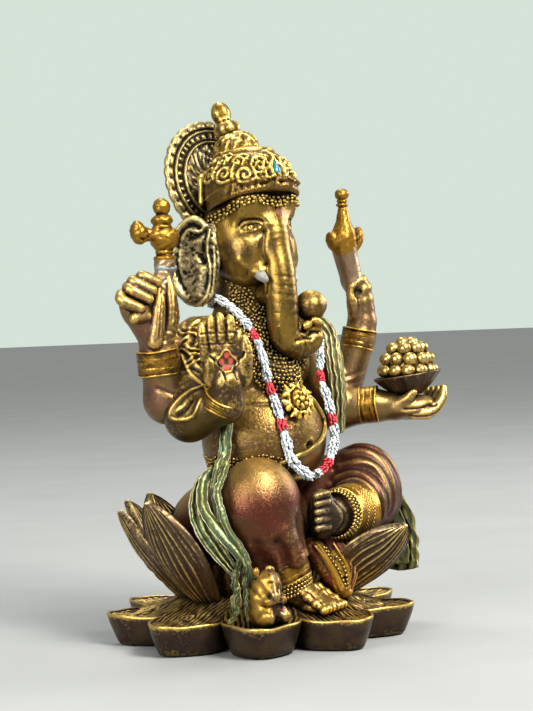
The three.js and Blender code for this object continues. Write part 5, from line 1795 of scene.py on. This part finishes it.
def mouse():
    """The mouse at the foot of the seat: a plump body, a small head bent over its paws, and round ears."""
    clay = Clay()
    clay.add(Lump((-13, -16.6, 8.4), (3.0, 3.2, 3.8)), Lump((-13.2, -17.4, 11.2), (2.3, 2.4, 2.4)), soft=1.2)
    clay.add(Lump((-13.2, -18.2, 12.4), (1.9, 2.0, 1.8)),
             Limb((-13.4, -19.2, 11.8), (-13.8, -20.4, 10.4), 1.3, 0.8), soft=0.8)
    clay.add(Lump((-14.6, -16.9, 13.9), (0.85, 0.5, 0.9), (0, -10, 30)),
             Lump((-11.9, -17.0, 13.9), (0.85, 0.5, 0.9), (0, 10, -30)), soft=0.4)
    clay.add(Coil([(-14.8, -17.6, 10, 0.95), (-14.6, -19.6, 9.4, 0.7), (-13.4, -20.4, 9.6, 0.6)]),
             Coil([(-11.4, -17.6, 10, 0.95), (-11.6, -19.6, 9.4, 0.7), (-12.4, -20.4, 9.6, 0.6)]), soft=0.5)
    clay.add(Lump((-14.7, -18.6, 6.7), (1.4, 1.9, 1.5)), Lump((-11.3, -18.6, 6.7), (1.4, 1.9, 1.5)), soft=0.7)
    for x in (-14.5, -12.4):
        clay.groove([(x - 0.2, -20.0, 12.5), (x + 0.2, -20.2, 12.5)], 0.18, 0.15)
    clay.groove([(-15.2, -16.0, 11.4), (-15.6, -17.6, 10.6), (-15.2, -19.0, 9.8)], 0.4, 0.15)
    clay.ripple(lambda p: 0.08 * np.sin(2.6 * p[:, 2] + 2 * np.sin(2.1 * p[:, 0])) * np.sin(2.3 * p[:, 1]))
    piece = fire("mouse", clay, MOUSE, 0.15)
    p = vertices(piece)
    # A painted highlight: the half towards the camera's left takes the gold edge colour, as if lit.
    side = (p - [-13.4, -18.6, 0]) @ VIEW_SIDE + 0.35 * np.sin(1.4 * p[:, 2])
    store(piece, "gilt_and_highlight", np.clip(0.5 - side / 0.8, 0, 1))


garland()
cord()
scarves()
apron()
mouse()


# ---------------------------------------------------------------- lotus

# Where each upright petal points, its reach and its height at the tip, and its turn about its spine.
OUTER_PETALS = ((35, 25.9, 19.0, 32), (80, 24, 19.8, 0), (120, 24, 22, 0), (160, 24, 23.5, 0),
                (200, 22.2, 24.2, 0), (240, 23.8, 22.8, 0), (272, 24, 25.3, 0))
INNER_PETALS = ((100, 21.4, 22.6), (140, 21.4, 24), (180, 21, 22.6), (222, 22.9, 23.8), (257, 20.4, 24.2))


def curve(points, t):
    """A quadratic Bezier curve and its tangent at t."""
    a, b, c = (np.asarray(p, float) for p in points)
    t = np.asarray(t)[:, None]
    on = (1 - t) ** 2 * a + 2 * t * (1 - t) * b + t**2 * c
    slope = 2 * (1 - t) * (b - a) + 2 * t * (c - b)
    return on, slope / np.linalg.norm(slope, axis=1, keepdims=True)


def upright_petal(name, degrees, spine, half_width, ribs, seed, thickness=1.1, twist=0.0):
    """A cupped lotus petal with fine lengthwise ribs that meet at its tip, and a rolled rim."""
    rows, columns = 120, 220
    out, side = heading(degrees), np.cross(Z, heading(degrees))
    u = np.linspace(0, 1, rows)
    on, slope = curve(spine, u)
    u = u[:, None]
    swell = np.sin(0.5 * math.pi * np.clip(0.35 + u / 0.75, 0, 1))
    taper = (1 - np.clip((u - 0.42) / 0.58, 0, 1) ** 2.3) ** 0.86
    half = half_width * np.maximum(0.03, swell * taper)
    a = np.linspace(0, 2 * math.pi, columns, endpoint=False)[None]
    v = np.sign(np.cos(a)) * np.abs(np.cos(a)) ** 0.9
    outer = -np.sin(a)
    wobble = 0.25 * np.sin(3.1 * u + seed) * v + 0.12 * np.sin(7 * u + 2 * seed)
    phase = v + 0.05 * np.sin(5 * u + seed) + 0.03 * np.sin(9 * u + 4 * v + seed)
    fade = np.clip(half / 3.2, 0, 1) * np.clip(1.15 - np.abs(v), 0, 1)
    line = ((1 + np.cos(2 * math.pi * ribs * phase)) / 2) ** 2.4
    rib = (0.34 * line - 0.1 + 0.06 * np.sin(math.pi * ribs * 5.2 * phase + 4 * u)) * fade
    rim = 0.34 * hill(np.abs(v) - 0.93, 0.06) * np.clip(half / 2, 0, 1)
    inner_line = 0.25 * hill(np.abs(v) - 0.8, 0.03) * np.clip(half / 2, 0, 1) * (outer < 0)
    body = 0.5 * thickness * np.sign(outer) * np.abs(outer) ** 0.55 * (1 - 0.45 * v**2)
    cup = 1.9 * v**2 * (half / half_width) + wobble
    thick = cup - body - np.sign(outer) * (rib + rim + inner_line)
    turn = math.radians(twist)
    across = v * half * math.cos(turn) + thick * math.sin(turn)
    thick = thick * math.cos(turn) - v * half * math.sin(turn)
    reach = on[:, :1] - slope[:, 1:] * thick
    tall = on[:, 1:] + slope[:, :1] * thick
    points = reach[..., None] * out + across[..., None] * side + tall[..., None] * Z
    piece = mesh_piece(name, points.reshape(-1, 3), tube_faces(rows, columns))
    relief(piece, 3)
    finish_piece(piece, LEAF, [name])


def upright_petals():
    """Two rings of petals: seven outside, which leave the figure's front open, and five inside."""
    for k, (degrees, reach, tip, twist) in enumerate(OUTER_PETALS):
        spine = ((12.6, 6.9), (0.85 * reach, 8.6 + 0.22 * tip), (reach, tip))
        upright_petal(f"outer_petal_{k + 1}", degrees, spine, 6.9, 5.0, 0.7 * k, twist=twist)
    for k, (degrees, reach, tip) in enumerate(INNER_PETALS):
        spine = ((13.2, 10.2), (0.84 * reach, 12.3 + 0.08 * tip), (reach, tip))
        upright_petal(f"inner_petal_{k + 1}", degrees, spine, 6.0, 4.5, 0.9 * k + 0.4, 1.0)


def boat_petal(degrees, seed):
    """A lower petal: sides that lean in to the floor, a thin rim, and a ribbed top that rises inwards."""
    out, side = heading(degrees), np.cross(Z, heading(degrees))
    columns = 200
    a = np.linspace(0, 2 * math.pi, columns, endpoint=False)[None]
    heart, long, wide = 18.2, 8.3, 6.6
    bow = 1 - 0.36 * np.clip(np.cos(a), 0, 1) ** 1.6
    along = long * np.cos(a)
    across = wide * np.sign(np.sin(a)) * np.abs(np.sin(a)) ** 0.85 * bow * (1 + 0.03 * np.sin(3 * a + seed))
    s_top = np.linspace(0.02, 0.92, 42)
    wall = [(0.935, 5.3), (0.955, 5.44), (0.98, 5.46), (1.0, 5.3), (1.0, 5.05), (0.985, 4.6), (0.955, 3.9),
            (0.92, 3.1), (0.88, 2.3), (0.84, 1.5), (0.8, 0.8), (0.775, 0.45), (0.75, 0.27), (0.7, 0.25),
            (0.35, 0.25), (0.02, 0.25)]
    s = np.concatenate([s_top, [w[0] for w in wall]])[:, None]
    z = np.concatenate([np.zeros(len(s_top)), [w[1] for w in wall]])[:, None] + 0 * a
    x, y = heart + s * along, s * across
    reach = np.hypot(x, y)
    ground = 4.75 + 3.0 * np.clip((21.5 - reach) / 9, 0, 1) ** 1.15 + 0.25 * np.clip((s - 0.7) / 0.2, 0, 1)
    lengthwise = y / (wide * (0.75 + 0.25 * np.clip((26 - x) / 8, 0, 1)))
    rib = 0.26 * (np.abs(np.sin(7.5 * math.pi * lengthwise + 0.6 * np.sin(0.7 * x + seed))) - 0.5)
    rib = rib + 0.1 * np.sin(2.1 * x + 9 * lengthwise + seed) * np.sin(31 * lengthwise + seed)
    on_top = (np.arange(len(s)) < len(s_top))[:, None]
    z = np.where(on_top, ground + rib * np.clip((0.95 - s) / 0.06, 0, 1), z)
    z = z + (0.14 * np.sin(2 * a + seed) + 0.07 * np.sin(7 * a + 2 * seed)) * (z > 4)
    points = x[..., None] * out + y[..., None] * side + z[..., None] * Z
    faces = [face[::-1] for face in tube_faces(len(s), columns)]
    return mesh_piece(f"boat_{degrees}", points.reshape(-1, 3), faces)


def lotus_base():
    """Nine lower petals round a turned core."""
    boats = [boat_petal(40 * k, 1.3 * k) for k in range(9)]
    core = turned("core", lathe_profile([(0.2, 0.9), (13.8, 0.9), (15.6, 1.2), (16, 3.2), (14.9, 5.4),
                  (12.6, 7.0), (0.2, 7.0)], 60), (0, 0, 0), Z, 120)
    piece = join("lotus_base", *boats, core)
    relief(piece, 3)
    finish_piece(piece, PLATE, ["lotus_base"])


def seat_pod():
    """The ribbed seed pod that the figure sits on."""
    profile = lathe_profile([(0.2, 6.4), (9.2, 6.5), (11.4, 9.2), (12.1, 11.6), (12.0, 13.4), (11.2, 14.2),
                             (0.2, 14.2)], 90)

    def bulge(r, h, a):
        return 0.3 * (np.abs(np.cos(20 * a)) - 0.5) * np.clip((r - 9) / 2, 0, 1) * (h < 13.6), 0 * r

    turned_piece("seat_pod", BRONZE, "bronze", profile, (0, 1.8, 0), Z, 240, bulge)


upright_petals()
lotus_base()
seat_pod()

for node, finish in (("seat_pin", STEEL), ("neck_pin", STEEL), ("felt_pad", FELT)):
    bpy.data.objects[node].data.materials.clear()
    bpy.data.objects[node].data.materials.append(finish)


# ---------------------------------------------------------------- stage, lights and camera


def stage():
    """A plain pale floor."""
    bpy.ops.mesh.primitive_circle_add(vertices=96, radius=3.0, fill_type="NGON")
    floor = bpy.context.object
    floor.name = "floor"
    recipe = Recipe("pale_floor")
    tone = recipe.mix(recipe.noise(30.0, 3.0), ink("7e7f7d"), ink("8a8b89"))
    recipe.feed(recipe.shader.inputs["Base Color"], tone)
    recipe.shader.inputs["Roughness"].default_value = 0.8
    floor.data.materials.append(recipe.material)


def lamp(name, place, aim, size, power, colour=(1, 1, 1)):
    """A round lamp, in metres and watts."""
    data = bpy.data.lights.new(name, "AREA")
    data.shape = "DISK"
    data.size = size
    data.energy = power
    data.color = colour
    light = bpy.data.objects.new(name, data)
    light.location = place
    light.rotation_euler = (Vector(aim) - Vector(place)).to_track_quat("-Z", "Y").to_euler()
    bpy.context.scene.collection.objects.link(light)


def lights():
    """Broad daylight, a soft key above the camera, weaker lamps round it, and a dim room.

    The camera sees a pale wall in place of the room; everything else is lit by the room.
    """
    heart = (0, 0, 0.045)
    sun = bpy.data.lights.new("day", "SUN")
    sun.energy = 2.5
    sun.angle = math.radians(25)
    day = bpy.data.objects.new("day", sun)
    day.rotation_euler = Vector((-0.05, 0.55, -0.8)).to_track_quat("-Z", "Y").to_euler()
    bpy.context.scene.collection.objects.link(day)
    lamp("key", (-0.02, -0.4, 0.36), heart, 0.16, 3.9, (1.0, 0.97, 0.92))
    lamp("fill", (-0.5, -0.12, 0.22), heart, 0.34, 3.0, (0.97, 0.99, 1.0))
    lamp("top", (0.1, 0.2, 0.6), heart, 0.3, 2.4)
    lamp("rim", (0.42, -0.1, 0.2), heart, 0.24, 1.6)
    world = bpy.data.worlds.new("studio")
    world.use_nodes = True
    tree = world.node_tree
    room = tree.nodes["Background"]
    room.inputs["Color"].default_value = (0.8, 0.85, 0.82, 1)
    room.inputs["Strength"].default_value = 0.42
    wall = tree.nodes.new("ShaderNodeBackground")
    wall.inputs["Color"].default_value = (0.66, 0.76, 0.68, 1)
    seen = tree.nodes.new("ShaderNodeLightPath")
    choose = tree.nodes.new("ShaderNodeMixShader")
    tree.links.new(seen.outputs["Is Camera Ray"], choose.inputs[0])
    tree.links.new(room.outputs[0], choose.inputs[1])
    tree.links.new(wall.outputs[0], choose.inputs[2])
    tree.links.new(choose.outputs[0], tree.nodes["World Output"].inputs["Surface"])
    bpy.context.scene.world = world
    bpy.context.scene.view_settings.view_transform = "Standard"


def camera():
    """The photograph's view: level with the belly, from the figure's right, with a slight roll."""
    azimuth, pitch, roll = math.radians(40), math.radians(-1.5), math.radians(2.2)
    distance, height, aside = 0.34, 0.057, 0.00262
    forward = Vector((math.sin(azimuth), math.cos(azimuth), 0))
    right = Vector((math.cos(azimuth), -math.sin(azimuth), 0))
    look = forward * math.cos(pitch) + Vector((0, 0, math.sin(pitch)))
    data = bpy.data.cameras.new("camera")
    data.sensor_width = 36
    data.lens = 100.35
    data.clip_start = 0.01
    eye = bpy.data.objects.new("camera", data)
    eye.location = right * aside - forward * distance + Vector((0, 0, height))
    level_view = look.to_track_quat("-Z", "Y").to_matrix()
    eye.rotation_euler = (level_view @ Euler((0, 0, -roll)).to_matrix()).to_euler()
    bpy.context.scene.collection.objects.link(eye)
    bpy.context.scene.camera = eye


stage()
lights()
camera()
